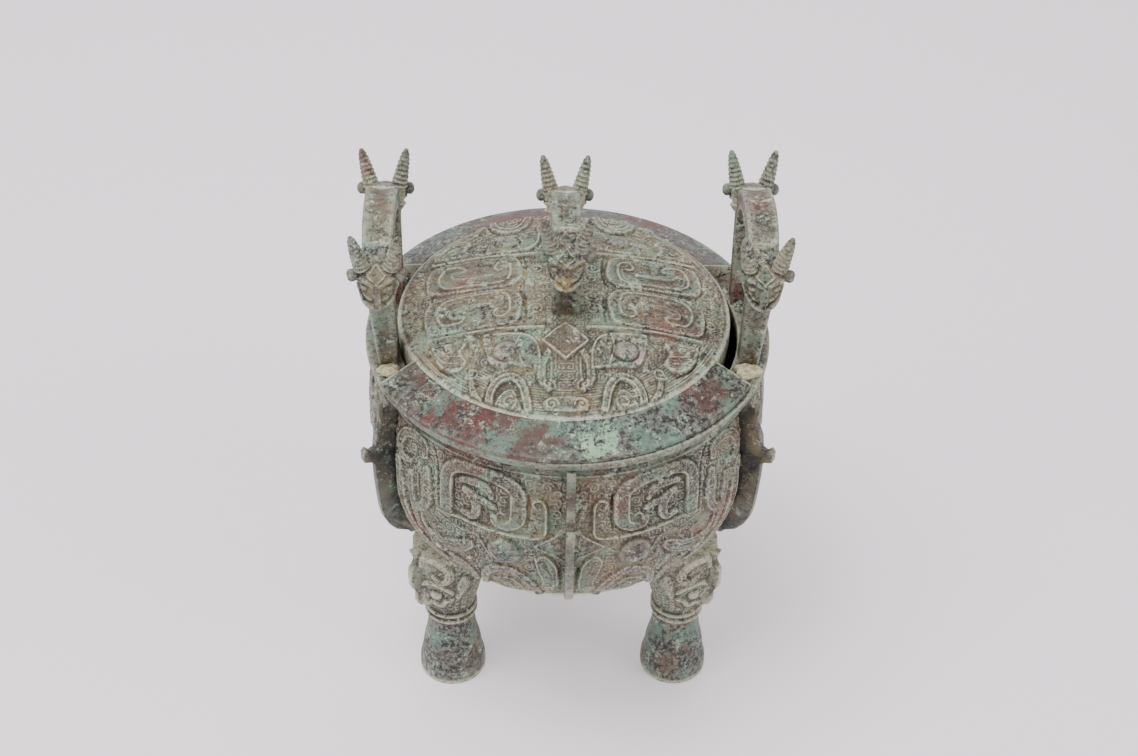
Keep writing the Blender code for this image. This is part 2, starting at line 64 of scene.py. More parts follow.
def bowl_radius(height, wall=0.0):
    """The bowl's outer radius at a height, or its inner one for a wall."""
    above = np.clip((height - widest_height) / (neck_height - widest_height), 0.0, 1.0)
    below = np.clip((widest_height - height) / (belly_depth - wall), 0.0, 1.0)
    upper = belly_radius - wall - (belly_radius - neck_radius) * above ** 2
    lower = (belly_radius - wall) * (1.0 - below ** belly_squareness) ** (1.0 / belly_squareness)
    return np.where(height >= widest_height, upper, lower)


def bowl_profile(wall):
    """The bowl's outline from the neck to its lowest point: radius, height and length along it."""
    upper = np.linspace(neck_height, widest_height, 800)
    lower = widest_height - (belly_depth - wall) * np.sin(np.linspace(0.0, 0.5 * np.pi, 1600))
    height = np.concatenate([upper, lower[1:]])
    radius = bowl_radius(height, wall)
    length = np.concatenate([[0.0], np.cumsum(np.hypot(np.diff(radius), np.diff(height)))])
    return radius, height, length


def smooth(points, closed=False, steps=6):
    """A curve through the points; whatever else a point carries, such as a width, is carried along."""
    rows = np.array(points, float)
    if closed:
        rows = np.vstack([rows[-1], rows, rows[:2]])
    else:
        rows = np.vstack([2.0 * rows[0] - rows[1], rows, 2.0 * rows[-1] - rows[-2]])
    t = np.linspace(0.0, 1.0, steps, endpoint=False)[:, None]
    spans = []
    for before, start, end, after in zip(rows, rows[1:], rows[2:], rows[3:]):
        rise = (end - before) * t
        bend = (2.0 * before - 5.0 * start + 4.0 * end - after) * t ** 2
        twist = (3.0 * start - before - 3.0 * end + after) * t ** 3
        spans.append(0.5 * (2.0 * start + rise + bend + twist))
    curve = np.vstack(spans)
    return np.vstack([curve, curve[:1] if closed else rows[-2:-1]])


def band(x, y, points, width=None):
    """How far each place lies outside a band along the points. A point may carry its own half width."""
    curve = smooth(points)
    if width is not None:
        curve = np.column_stack([curve[:, :2], np.full(len(curve), width)])
    gap = np.full(x.shape, 1e3)
    for start, end in zip(curve, curve[1:]):
        run = end[:2] - start[:2]
        share = ((x - start[0]) * run[0] + (y - start[1]) * run[1]) / max(run @ run, 1e-9)
        share = np.clip(share, 0.0, 1.0)
        away = np.hypot(x - start[0] - share * run[0], y - start[1] - share * run[1])
        np.minimum(gap, away - start[2] - (end[2] - start[2]) * share, out=gap)
    return gap


def patch(x, y, points):
    """How far each place lies outside a closed, rounded outline; negative inside it."""
    curve = smooth(points, closed=True)
    gap = np.full(x.shape, 1e3)
    inside = np.zeros(x.shape, bool)
    for start, end in zip(curve, curve[1:]):
        run = end - start
        share = ((x - start[0]) * run[0] + (y - start[1]) * run[1]) / max(run @ run, 1e-9)
        share = np.clip(share, 0.0, 1.0)
        np.minimum(gap, np.hypot(x - start[0] - share * run[0], y - start[1] - share * run[1]), out=gap)
        if abs(run[1]) > 1e-9:
            crosses = (start[1] > y) != (end[1] > y)
            inside ^= crosses & (x < start[0] + run[0] * (y - start[1]) / run[1])
    return np.where(inside, -gap, gap)


def curl(x, y, centre_x, centre_y, radius, turns, start, width):
    """A band wound in a small spiral; negative turns wind the other way."""
    points = []
    for t in np.linspace(0.0, 1.0, int(6 * abs(turns)) + 4):
        angle = math.radians(start) + 2.0 * math.pi * turns * t
        reach = radius * (1.0 - 0.86 * t)
        points.append((centre_x + reach * math.cos(angle), centre_y + reach * math.sin(angle)))
    return band(x, y, points, width)


def inside(gap, soft):
    """1 inside an outline, falling to 0 outside it over a soft shoulder."""
    t = np.clip(0.5 - gap / soft, 0.0, 1.0)
    return t * t * (3.0 - 2.0 * t)


def thunder(x, y, size, pitch):
    """Squared spirals in rows, wound by turns to the left and the right, as a wave from 0 to 1."""
    column = np.floor(x / size)
    row = np.floor(y / size)
    hand = np.where((column + row) % 2 == 0, 1.0, -1.0)
    u = 2.0 * (x / size - column) - 1.0
    v = 2.0 * (y / size - row) - 1.0
    reach = (np.abs(u) ** 4 + np.abs(v) ** 4) ** 0.25
    turn = np.arctan2(v * hand, u) / (2.0 * np.pi)
    return 0.5 + 0.5 * np.cos(2.0 * np.pi * (reach * size / (2.0 * pitch) + turn))


class Relief:
    """Heights in millimetres over a surface, raised and cut motif by motif."""

    def __init__(self, x, y):
        self.x = x
        self.y = y
        self.height = np.zeros(x.shape)
        self.plain = np.zeros(x.shape)

    def raised(self, gap, level, soft=1.5, contour=0.0):
        """Raises what lies inside the outline, with a fine line cut along its edge."""
        self.height = np.maximum(self.height, level * inside(gap, soft))
        if contour:
            self.height -= 0.42 * np.exp(-((gap + contour) / 0.42) ** 2)

    def cut(self, gap, depth, soft=1.0):
        self.height -= depth * inside(gap, soft)

    def thread(self, gap, level=0.55, soft=0.9):
        """A thin cord laid over whatever is there."""
        self.height += level * inside(gap, soft)
        self.plain = np.maximum(self.plain, inside(gap - 0.5, 1.0))

    def boss(self, centre_x, centre_y, half_x, half_y, level):
        """A smooth rounded boss with a groove round it."""
        reach = np.hypot((self.x - centre_x) / half_x, (self.y - centre_y) / half_y)
        dome = level * np.sqrt(np.clip(1.0 - reach ** 2, 0.0, 1.0))
        self.height = np.maximum(self.height, dome)
        self.height -= 0.9 * np.exp(-((reach - 1.06) * half_y / 0.55) ** 2)
        self.plain = np.maximum(self.plain, inside((reach - 1.0) * half_y, 1.0))


def mask_and_dragon(across, down):
    """Half a mask and its dragon, across from the mask's flange and down from the brim."""
    relief = Relief(across, down)
    x = across
    y = down
    horn = [(62.2, 51.0, 3.7), (62.3, 38.0, 3.8), (61.8, 27.0, 3.6), (57.0, 21.0, 3.4), (46.0, 19.6, 3.2),
            (33.0, 20.8, 3.4), (25.4, 25.5, 3.8), (24.3, 35.0, 3.9), (25.0, 43.0, 3.6), (29.5, 47.4, 2.6),
            (35.0, 47.2, 2.2), (36.6, 43.6, 1.8)]
    relief.raised(band(x, y, horn), 1.6, 1.4)
    relief.raised(band(x, y, [(53.5, 27.5, 1.6), (45.5, 26.2, 2.2), (39.5, 28.6, 2.0), (38.0, 32.5, 1.2)]),
                  1.5, 1.2)
    hook = [(51.5, 32.0, 1.6), (47.0, 35.0, 2.3), (45.2, 41.0, 2.5), (47.2, 46.5, 2.2), (52.0, 46.0, 1.6)]
    relief.raised(band(x, y, hook), 1.8, 1.2)
    inner = [(45.0, 35.5, 1.7), (40.0, 36.2, 2.0), (36.6, 38.0, 1.2)]
    relief.raised(band(x, y, inner), 1.4, 1.2)
    ear = [(80.0, 64.5), (76.5, 71.0), (69.0, 72.4), (60.0, 69.5), (50.0, 64.2), (47.4, 67.6), (51.5, 73.6),
           (61.0, 79.6), (71.0, 79.0), (79.0, 71.5)]
    relief.raised(patch(x, y, ear), 1.5, 1.5, 1.5)
    jaw = [(46.5, 99.0, 2.2), (43.0, 87.0, 2.4), (36.5, 80.5, 2.5), (29.0, 78.4, 2.4), (22.5, 83.6, 2.6),
           (18.0, 92.0, 2.6), (15.6, 99.5, 2.2)]
    relief.raised(band(x, y, jaw), 1.6, 1.5)
    tooth = [(40.0, 92.0), (36.0, 88.5), (29.5, 87.2), (25.4, 92.0), (24.0, 98.5), (37.0, 99.0)]
    relief.raised(patch(x, y, tooth), 1.1, 1.4, 1.4)
    cheek = [(63.0, 84.0, 1.8), (56.5, 86.5, 2.2), (52.5, 92.0, 2.2), (52.0, 99.0, 1.8)]
    relief.raised(band(x, y, cheek), 1.4, 1.4)
    muzzle = [(6.0, 70.0), (11.5, 64.0), (16.0, 67.5), (15.0, 77.5), (13.0, 86.0), (14.0, 92.5),
              (10.5, 97.0),
              (5.8, 94.0), (4.6, 82.0)]
    relief.raised(patch(x, y, muzzle), 1.3, 1.5, 1.5)
    brow_plate = [(2.0, 44.0), (8.0, 50.0), (16.2, 57.6), (9.0, 63.0), (2.0, 68.5), (-3.0, 60.0),
                  (-3.0, 50.0)]
    relief.raised(patch(x, y, brow_plate), 1.2, 1.2, 1.4)

    dragon_crest = [(76.5, 25.5, 1.8), (77.5, 20.0, 2.3), (84.5, 18.2, 2.6), (92.0, 21.0, 2.6),
                    (95.6, 28.0, 2.6),
                    (93.4, 35.5, 2.4), (87.0, 34.5, 1.7)]
    relief.raised(band(x, y, dragon_crest), 1.5, 1.4, 1.4)
    dragon_back = [(75.0, 33.0, 2.4), (74.4, 43.0, 3.2), (75.4, 53.0, 3.0), (79.5, 59.5, 2.6),
                   (85.6, 61.5, 2.2)]
    relief.raised(band(x, y, dragon_back), 1.5, 1.4)
    dragon_body = [(97.0, 40.0, 2.2), (95.4, 49.0, 2.9), (95.6, 60.0, 3.2), (93.6, 72.0, 3.4),
                   (87.0, 82.0, 3.2),
                   (78.6, 88.0, 2.8), (68.5, 91.0, 2.0)]
    relief.raised(band(x, y, dragon_body), 1.6, 1.5, 1.6)
    dragon_leg = [(86.0, 41.5, 2.0), (86.2, 52.0, 2.4), (84.6, 66.0, 2.2), (82.5, 75.0, 1.8)]
    relief.raised(band(x, y, dragon_leg), 1.4, 1.4)
    relief.raised(patch(x, y, [(64.0, 78.6), (69.5, 75.4), (76.0, 78.4), (75.0, 84.0), (68.0, 85.0)]), 1.5,
                  1.5)

    threads = thunder(x + 1.2, y + 0.4, 6.0, 1.55)
    fine = thunder(x + 3.4, y + 2.2, 4.4, 1.45)
    lift = np.clip(relief.height / 1.4, 0.0, 1.0)

    horn_line = [(58.6, 43.5), (59.0, 28.5), (57.0, 24.8), (52.0, 23.6), (37.0, 23.8), (31.0, 25.0),
                 (28.4, 29.0),
                 (28.1, 41.5), (29.8, 44.6), (33.2, 44.8), (35.0, 42.2), (33.2, 40.2), (31.4, 41.2)]
    relief.thread(band(x, y, horn_line, 0.45), 0.75)
    relief.thread(band(x, y, [(58.6, 43.5), (56.8, 46.0), (53.8, 46.4), (52.6, 44.2), (54.2, 42.4)], 0.4),
                  0.6)
    for line in ([(38.5, 59.0), (47.0, 59.6), (58.0, 59.0), (68.0, 56.5)],
                 [(19.0, 60.0), (16.4, 67.0), (14.2, 77.0)],
                 [(15.0, 59.5), (6.8, 71.0), (5.8, 80.0)], [(0.0, 43.5), (8.0, 51.5), (16.8, 57.7)],
                 [(16.8, 57.7), (8.0, 62.0), (0.0, 69.0)], [(19.0, 60.0), (24.0, 66.0), (28.0, 74.0),
                                                            (37.5, 75.2)],
                 [(37.5, 75.2), (41.2, 68.0), (46.0, 58.5)], [(62.0, 66.0), (72.0, 60.0), (73.0, 56.0)]):
        relief.thread(band(x, y, line, 0.4), 0.6)
    for spot in ((10.8, 21.7, 3.2, 1.5, 200.0), (15.6, 32.6, 2.6, 1.3, 30.0), (57.0, 67.6, 3.0, 1.4, 20.0),
                 (10.2, 91.0, 2.6, 1.5, 90.0), (74.0, 44.0, 3.4, 1.6, 120.0), (85.5, 25.4, 3.2, 1.6, 260.0),
                 (91.0, 48.5, 2.4, 1.3, 90.0), (32.0, 94.0, 2.8, 1.4, 180.0)):
        relief.thread(curl(x, y, *spot, 0.38), 0.65, 0.85)
    for spot in ((5.6, 25.0, 2.4, -1.3, 90.0), (6.7, 37.0, 3.0, -1.5, 300.0), (79.6, 36.0, 2.6, -1.4, 0.0),
                 (99.0, 26.0, 2.4, -1.3, 90.0), (99.5, 84.0, 3.0, -1.5, 200.0),
                 (62.5, 93.5, 2.8, -1.4, 0.0)):
        relief.thread(curl(x, y, *spot, 0.38), 0.6, 0.85)

    relief.boss(31.6, 64.6, 8.6, 8.2, 4.2)
    relief.boss(69.6, 80.0, 2.9, 2.4, 3.0)
    relief.boss(51.0, 78.0, 2.1, 1.9, 2.0)
    brow = [(67.5, 52.6), (55.0, 51.0), (43.0, 51.6), (34.0, 52.2), (22.0, 52.4), (14.2, 51.6),
            (11.4, 48.5),
            (11.0, 40.0), (11.4, 32.0), (14.0, 28.8), (17.4, 30.2), (16.4, 33.2)]
    ridge = band(x, y, brow, 0.75)
    relief.height = np.maximum(relief.height, 2.1 * inside(ridge, 1.6))
    relief.plain = np.maximum(relief.plain, inside(ridge - 0.4, 1.2))

    for line, width, depth in (([(73.0, 17.5), (69.6, 24.0), (68.0, 36.0), (67.4, 51.0)], 0.75, 1.6),
                               ([(91.6, 36.0), (88.2, 39.4)], 0.75, 1.3),
                               ([(81.0, 40.0), (81.0, 52.5)], 0.85, 1.5),
                               ([(90.7, 56.0), (90.3, 63.0), (89.2, 71.0)], 0.8, 1.5),
                               ([(20.0, 27.0), (19.4, 38.0), (20.4, 47.5)], 0.55, 1.0),
                               ([(44.0, 59.6), (38.8, 70.0)], 0.45, 0.8),
                               ([(17.6, 62.5), (16.8, 74.0)], 0.4, 0.7),
                               ([(12.0, 68.0), (9.0, 78.0)], 0.4, 0.7),
                               ([(3.4, 78.0), (3.4, 97.0)], 0.5, 0.8),
                               ([(49.2, 82.0), (47.6, 90.0), (48.4, 98.0)], 0.5, 0.9),
                               ([(57.5, 73.5), (66.0, 76.0)], 0.45, 0.7)):
        relief.cut(band(x, y, line, width), depth)

    open_ground = (1.0 - relief.plain) * inside(16.2 - y, 1.5) * inside(y - 98.5, 1.5)
    relief.height += open_ground * (1.0 - lift) * (0.62 * threads - 0.25)
    relief.height += open_ground * lift * (0.34 * fine - 0.17)
    border = np.exp(-((y - 15.2) / 0.8) ** 2) + np.exp(-((y - 99.4) / 0.9) ** 2)
    return relief.height + 0.7 * border


def solid(name, vertices, faces, corner=60.0):
    """An object from points in metres, faces turned outwards, shaded smooth up to a corner's angle."""
    mesh = bpy.data.meshes.new(name)
    mesh.from_pydata(vertices, [], faces)
    turned_out = bmesh.new()
    turned_out.from_mesh(mesh)
    bmesh.ops.recalc_face_normals(turned_out, faces=turned_out.faces)
    turned_out.to_mesh(mesh)
    turned_out.free()
    mesh.shade_smooth()
    mesh.set_sharp_from_angle(angle=math.radians(corner))
    piece = bpy.data.objects.new(name, mesh)
    bpy.context.scene.collection.objects.link(piece)
    return piece


def weather(piece, spread=16, wear_and_sheen=1.0):
    """Notes how deep in a hollow and how far out on an edge each vertex lies: the hollows get earth and painted
    shade, the edges a pale colour that is partly worn bronze and partly painted highlight.
    """
    mesh = piece.data
    count = len(mesh.vertices)
    place = np.empty(count * 3, np.float32)
    mesh.vertices.foreach_get("co", place)
    place = place.reshape(-1, 3).astype(float)
    normal = np.empty(count * 3, np.float32)
    mesh.vertex_normals.foreach_get("vector", normal)
    normal = normal.reshape(-1, 3)
    ends = np.empty(len(mesh.edges) * 2, np.int32)
    mesh.edges.foreach_get("vertices", ends)
    one, two = ends.reshape(-1, 2).T
    touching = np.bincount(one, minlength=count) + np.bincount(two, minlength=count)
    settled = place.copy()
    depths = []
    for turn in range(1, spread + 1):
        for axis in range(3):
            total = np.bincount(one, settled[two, axis], count) + np.bincount(two, settled[one, axis],
                                                                              count)
            settled[:, axis] += 0.6 * (total / touching - settled[:, axis])
        if turn in (2, spread):
            depths.append(((settled - place) * normal).sum(1) / millimetre)
    near, far = depths
    # hollow drives the earth and the painted shade; edge drives the pale colour that is partly worn bronze and
    # partly painted highlight.
    for label, value in (("hollow", near / 0.28 + far / 0.5),
                         ("edge", -wear_and_sheen * (near / 0.5 + (far + 0.1) / 0.55))):
        layer = mesh.attributes.new(label, "FLOAT", "POINT")
        layer.data.foreach_set("value", np.clip(value, 0.0, 1.0).astype(np.float32))


def colour(red, green, blue):
    """A colour given as it looks on a screen, from 0 to 255, as linear light."""
    shares = [value / 255.0 for value in (red, green, blue)]
    linear = [s / 12.92 if s <= 0.04045 else ((s + 0.055) / 1.055) ** 2.4 for s in shares]
    return (*linear, 1.0)


class Finish:
    """A material put together node by node."""

    def __init__(self, name):
        self.material = bpy.data.materials.new(name)
        self.material.use_nodes = True
        self.tree = self.material.node_tree
        self.shader = self.tree.nodes["Principled BSDF"]
        self.place = self.add("ShaderNodeTexCoord").outputs["Object"]

    def add(self, kind, inputs=(), **settings):
        node = self.tree.nodes.new(kind)
        for label, value in settings.items():
            setattr(node, label, value)
        for socket, value in dict(inputs).items():
            self.give(node.inputs[socket], value)
        return node

    def give(self, socket, value):
        if isinstance(value, bpy.types.NodeSocket):
            self.tree.links.new(value, socket)
        else:
            socket.default_value = value

    def noise(self, scale, detail=4.0, rough=0.6, shift=0.0, stretch=(1.0, 1.0, 1.0)):
        moved = self.add("ShaderNodeMapping", {"Vector": self.place,
                                               "Location": (shift, 0.7 * shift, -shift),
                                               "Scale": stretch}).outputs[0]
        node = self.add("ShaderNodeTexNoise", {"Vector": moved, "Scale": scale, "Detail": detail,
                                               "Roughness": rough})
        return node.outputs["Fac"]

    def ramp(self, value, low, high, bottom=0.0, top=1.0):
        node = self.add("ShaderNodeMapRange", {"Value": value, "From Min": low, "From Max": high,
                                               "To Min": bottom,
                                               "To Max": top}, interpolation_type="SMOOTHSTEP")
        return node.outputs["Result"]

    def math(self, operation, first, second=0.0, third=0.0):
        return self.add("ShaderNodeMath", {0: first, 1: second, 2: third}, operation=operation,
                        use_clamp=operation != "SUBTRACT").outputs[0]

    def blend(self, share, under, over):
        node = self.add("ShaderNodeMix", {"Factor": share}, data_type="RGBA")
        for socket, value in (("A_Color", under), ("B_Color", over)):
            self.give(next(s for s in node.inputs if s.identifier == socket), value)
        return next(s for s in node.outputs if s.identifier == "Result_Color")

    def attribute(self, label):
        return self.add("ShaderNodeAttribute", attribute_name=label).outputs["Fac"]


def old_bronze(name, redness=0.0, earthiness=0.0, darkness=0.0, stains_and_painted_light=()):
    """Bronze after long burial: dark, with malachite green, red oxide and earth in the hollows, painted shade
    deeper in the hollows and a painted highlight on the edges.
    """
    finish = Finish(name)
    broad = finish.noise(17.0, 5.0, 0.62, 0.31)
    middle = finish.noise(80.0, 6.0, 0.70, 1.7)
    small = finish.noise(400.0, 6.0, 0.8, 4.1)
    grain = finish.noise(1000.0, 4.0, 0.8, 7.9)
    speckle = finish.math("ADD", finish.math("MULTIPLY", small, 0.5), finish.math("MULTIPLY", grain, 0.5))
    hollow = finish.attribute("hollow")
    edge = finish.attribute("edge")

    def mottled(shift, scale, weight):
        """A field of patches whose borders are broken up by the speckle."""
        return finish.math("ADD", finish.math("MULTIPLY", finish.noise(scale, 4.0, 0.6, shift), weight),
                           finish.math("MULTIPLY", speckle, 1.0 - weight))

    skin = finish.blend(finish.ramp(small, 0.455, 0.545),
                        colour(30, 29, 29), colour(120, 124, 114))
    skin = finish.blend(finish.ramp(finish.noise(34.0, 5.0, 0.6, 11.3), 0.47, 0.62, 0.0, 0.6), skin,
                        colour(92, 76, 66))
    skin = finish.blend(finish.ramp(mottled(9.4, 48.0, 0.5), 0.51, 0.545, 0.0, 0.72), skin,
                        colour(110, 142, 124))
    skin = finish.blend(finish.ramp(mottled(5.2, 24.0, 0.5), 0.535 - 0.05 * redness, 0.575 - 0.05 * redness,
                                    0.0, 0.8),
                        skin, colour(106, 52, 48))
    if earthiness > 0.0:
        skin = finish.blend(finish.ramp(mottled(21.0, 55.0, 0.5), 0.50, 0.55, 0.0, earthiness), skin,
                            colour(146, 130, 96))
    # Tinted patches round given places: real stains, and also painted shade on the side flanges and painted
    # highlights on the lid's eye bosses.
    for place, reach, tint in stains_and_painted_light:
        away = finish.add("ShaderNodeVectorMath", {0: finish.place, 1: place},
                          operation="DISTANCE").outputs["Value"]
        near = finish.ramp(away, 1.1 * reach, 0.4 * reach, 0.0, 0.055)
        ragged = finish.math("ADD", mottled(10.0 * reach, 120.0, 0.35), near)
        share = finish.math("MULTIPLY", finish.ramp(ragged, 0.53, 0.575, 0.0, 0.82),
                            finish.ramp(away, 1.15 * reach, 0.85 * reach))
        skin = finish.blend(share, skin, colour(*tint))
    skin = finish.blend(finish.math("MULTIPLY", hollow, finish.ramp(middle, 0.40 - 0.1 * earthiness, 0.58,
                                                                    0.05, 0.9)),
                        skin, colour(166, 148, 106))
    # Painted shade: near black laid into the hollows, standing in for the shadow in creases and at the foot of
    # raised edges.
    skin = finish.blend(finish.math("MULTIPLY", hollow, finish.ramp(broad, 0.47, 0.57, 0.15, 0.9)), skin,
                        colour(30, 29, 28))
    # Painted highlight, partly worn bronze: a pale cream laid on ridges and raised edges where the light catches
    # them.
    skin = finish.blend(finish.math("MULTIPLY", edge, finish.ramp(speckle, 0.40, 0.54, 0.2, 0.95)), skin,
                        colour(208, 205, 180))
    skin = finish.blend(finish.ramp(mottled(14.0, 120.0, 0.3), 0.548, 0.58, 0.0, 0.9), skin,
                        colour(192, 206, 184))
    skin = finish.blend(finish.ramp(mottled(17.0, 150.0, 0.3), 0.445, 0.415, 0.0, 0.85), skin,
                        colour(32, 31, 30))
    skin = finish.blend(0.62 * darkness, skin, colour(30, 29, 28))
    finish.give(finish.shader.inputs["Base Color"], skin)
    finish.give(finish.shader.inputs["Metallic"], 0.15)
    finish.give(finish.shader.inputs["Roughness"], finish.ramp(speckle, 0.38, 0.64, 0.36, 0.72))
    pits = finish.math("ADD", finish.math("MULTIPLY", small, 0.7), finish.math("MULTIPLY", grain, 0.4))
    bump = finish.add("ShaderNodeBump", {"Height": pits, "Strength": 0.8, "Distance": 0.0007})
    finish.give(finish.shader.inputs["Normal"], bump.outputs["Normal"])
    return finish.material


bowl_bronze = old_bronze("bowl_bronze", 0.25, 0.0, 0.12)


def bowl_section(name, middle):
    """A third of the bowl, closed all round: relief outside, a plain wall inside."""
    radius, height, length = bowl_profile(0.0)
    band_length = np.interp(band_drop, (brim_edge_height - height), length)
    fine = np.arange(0.0, band_length, band_step)
    coarse = np.linspace(band_length, length[-1], 20)[:-1]
    rows = np.concatenate([fine, coarse])
    row_radius = np.interp(rows, length, radius)
    row_height = np.interp(rows, length, height)
    lean = np.gradient(row_radius, rows)
    fall = np.gradient(row_height, rows)
    turn = np.linspace(-math.pi / 3.0, math.pi / 3.0, section_columns + 1)
    half = section_columns // 2
    across = turn[half:] * belly_radius / millimetre
    down = (brim_edge_height - row_height) / millimetre
    grid_across, grid_down = np.meshgrid(across, down)
    relief = mask_and_dragon(grid_across, grid_down)
    relief[len(fine):] = 0.0
    relief = np.hstack([relief[:, :0:-1], relief]) * millimetre
    angle = turn[None, :] + math.radians(middle)
    out = row_radius[:, None] - fall[:, None] * relief
    up = row_height[:, None] + lean[:, None] * relief
    outer = np.dstack([out * np.sin(angle), -out * np.cos(angle), np.broadcast_to(up, out.shape)])

    inner_radius, inner_height, inner_length = bowl_profile(bowl_wall)
    inner_rows = np.linspace(0.0, inner_length[-1], 15)[:-1]
    inner_out = np.interp(inner_rows, inner_length, inner_radius)[:, None]
    inner_up = np.interp(inner_rows, inner_length, inner_height)[:, None]
    inner = np.dstack([inner_out * np.sin(angle), -inner_out * np.cos(angle),
                       np.repeat(inner_up, angle.size, 1)])

    columns = angle.size
    low = widest_height - belly_depth
    vertices = np.vstack([outer.reshape(-1, 3), inner.reshape(-1, 3), [(0, 0, low)],
                          [(0, 0, low + bowl_wall)]])
    first_inner = outer.shape[0] * columns
    poles = (first_inner + inner.shape[0] * columns, first_inner + inner.shape[0] * columns + 1)
    faces = []
    for start, count, pole in ((0, outer.shape[0], poles[0]), (first_inner, inner.shape[0], poles[1])):
        for row in range(count - 1):
            at = start + row * columns
            faces += [(at + i, at + i + 1, at + columns + i + 1,
                       at + columns + i) for i in range(columns - 1)]
        at = start + (count - 1) * columns
        faces += [(at + i, at + i + 1, pole) for i in range(columns - 1)]
    faces += [(i, i + 1, first_inner + i + 1, first_inner + i) for i in range(columns - 1)]
    for column in (0, columns - 1):
        side = [row * columns + column for row in range(outer.shape[0])] + list(poles)
        side += [first_inner + row * columns + column for row in range(inner.shape[0] - 1, -1, -1)]
        faces.append(side)
    return solid(name, vertices.tolist(), faces, 75.0)


for place, middle in section_angles.items():
    section = bowl_section("bowl_" + place, middle)
    section.data.materials.append(bowl_bronze)
    weather(section)
    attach(section, "root")
    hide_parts("vessel")

# The rim is the bowl's flat lip, cast with it and rubbed smooth; the lid's brim rests on it.
rim_columns = 240
lip_rounding = 0.0010


def rounded(outline, reach, steps=3):
    """An outline of (radius, height) with its corners rounded off."""
    points = []
    count = len(outline)
    for i in range(count):
        before, corner, after = (np.array(outline[(i + k) % count], float) for k in (-1, 0, 1))
        start = corner + (before - corner) * min(0.45, reach / max(np.hypot(*(before - corner)), 1e-9))
        end = corner + (after - corner) * min(0.45, reach / max(np.hypot(*(after - corner)), 1e-9))
        for t in np.linspace(0.0, 1.0, steps + 1):
            points.append((1 - t) ** 2 * start + 2 * t * (1 - t) * corner + t ** 2 * end)
    return np.array(points)


def filled(points, step):
    """A closed outline with points added so that none of its straight parts is longer than a step."""
    rows = []
    for start, end in zip(points, np.roll(points, -1, axis=0)):
        parts = max(1, math.ceil(np.hypot(*(end - start)) / step))
        rows += [start + (end - start) * i / parts for i in range(parts)]
    return np.array(rows)


def swept(name, outline, first, last, columns, centre_x=0.0, corner=50.0):
    """A closed outline of (radius, height) turned from one azimuth to another, or all round."""
    whole = abs(last - first) > 359.9
    angles = np.radians(np.linspace(first, last, columns + 1))
    if whole:
        angles = angles[:-1]
    radius = outline[:, 0][None, :]
    x = centre_x + radius * np.sin(angles)[:, None]
    y = -radius * np.cos(angles)[:, None]
    z = np.broadcast_to(outline[:, 1][None, :], x.shape)
    vertices = np.dstack([x, y, z]).reshape(-1, 3)
    across = len(outline)
    faces = []
    for i in range(len(angles) if whole else len(angles) - 1):
        j = (i + 1) % len(angles)
        for k in range(across):
            n = (k + 1) % across
            faces.append((i * across + k, j * across + k, j * across + n, i * across + n))
    if not whole:
        faces.append(list(range(across)))
        faces.append([(len(angles) - 1) * across + k for k in range(across)])
    return solid(name, vertices.tolist(), faces, corner)


rim_outline = [(neck_radius - 0.0015, neck_height - 0.0012), (neck_radius + 0.0006, neck_height - 0.0012),
               (neck_radius + 0.0010, neck_height + 0.0004), (rim_radius - 0.0012, neck_height + 0.0004),
               (rim_radius, neck_height + 0.0016), (rim_radius, rim_height), (mouth_radius, rim_height),
               (mouth_radius, neck_height - 0.0012)]
rim = swept("rim", filled(rounded(rim_outline, lip_rounding), 0.0028), 0.0, 360.0, rim_columns)
rim_bronze = old_bronze("rim_bronze", -0.1, 0.2, 0.3)
rim.data.materials.append(rim_bronze)
weather(rim, 6)
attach(rim, "root")
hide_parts("vessel")

# Six flanges stand along the mould's joints and the masks' middles. Each is a flat plate cast with the bowl,
# hooked at the top, with an upturned spur at its middle, and plain on both faces.
flange_past_rim = 0.0045
flange_thickness = 0.0042
flange_top = 0.2010
flange_length = 0.0890
spur_proud = 0.0063
flange_edge = 0.0005
flange_count = 6

proud = rim_radius + flange_past_rim - neck_radius
plate_edge = [(0.55, 0.0, -0.04), (0.78, 0.0, -0.04), (0.85, 0.0, 0.045), (1.0, 0.2, 0.03),
              (1.0, 0.0, -0.04), (0.8, 0.0, -0.12),
              (0.92, 0.0, -0.165), (1.0, 0.0, -0.20), (1.0, 0.0, -0.28), (1.0, 0.35, -0.29),
              (1.0, 0.75, -0.262),
              (1.0, 1.0, -0.285), (1.0, 0.92, -0.345), (1.0, 0.3, -0.362), (1.0, 0.0, -0.385),
              (0.97, 0.0, -0.50),
              (0.95, 0.0, -0.62), (0.98, 0.0, -0.72), (1.0, 0.0, -0.80), (0.92, 0.0, -0.87),
              (0.75, 0.0, -0.93),
              (0.35, 0.0, -0.97), (0.3, 0.0, -1.0)]


def flange_points():
    """The plate's outline as (radius, height), following the bowl down its inner side."""
    points = []
    for plate_share, spur_share, drop in plate_edge:
        level = flange_top + min(drop, 0.0) * flange_length
        height = flange_top + drop * flange_length
        points.append((float(bowl_radius(level)) + proud * plate_share + spur_proud * spur_share, height))
    for share in np.linspace(1.0, 0.0, 12):
        height = flange_top - share * flange_length
        points.append((float(bowl_radius(height)) - 0.0014, height))
    points.append((float(bowl_radius(flange_top)) - 0.0014, flange_top + 0.0008))
    points.append((float(bowl_radius(flange_top)) + 0.45 * proud, flange_top + 0.0008))
    return points


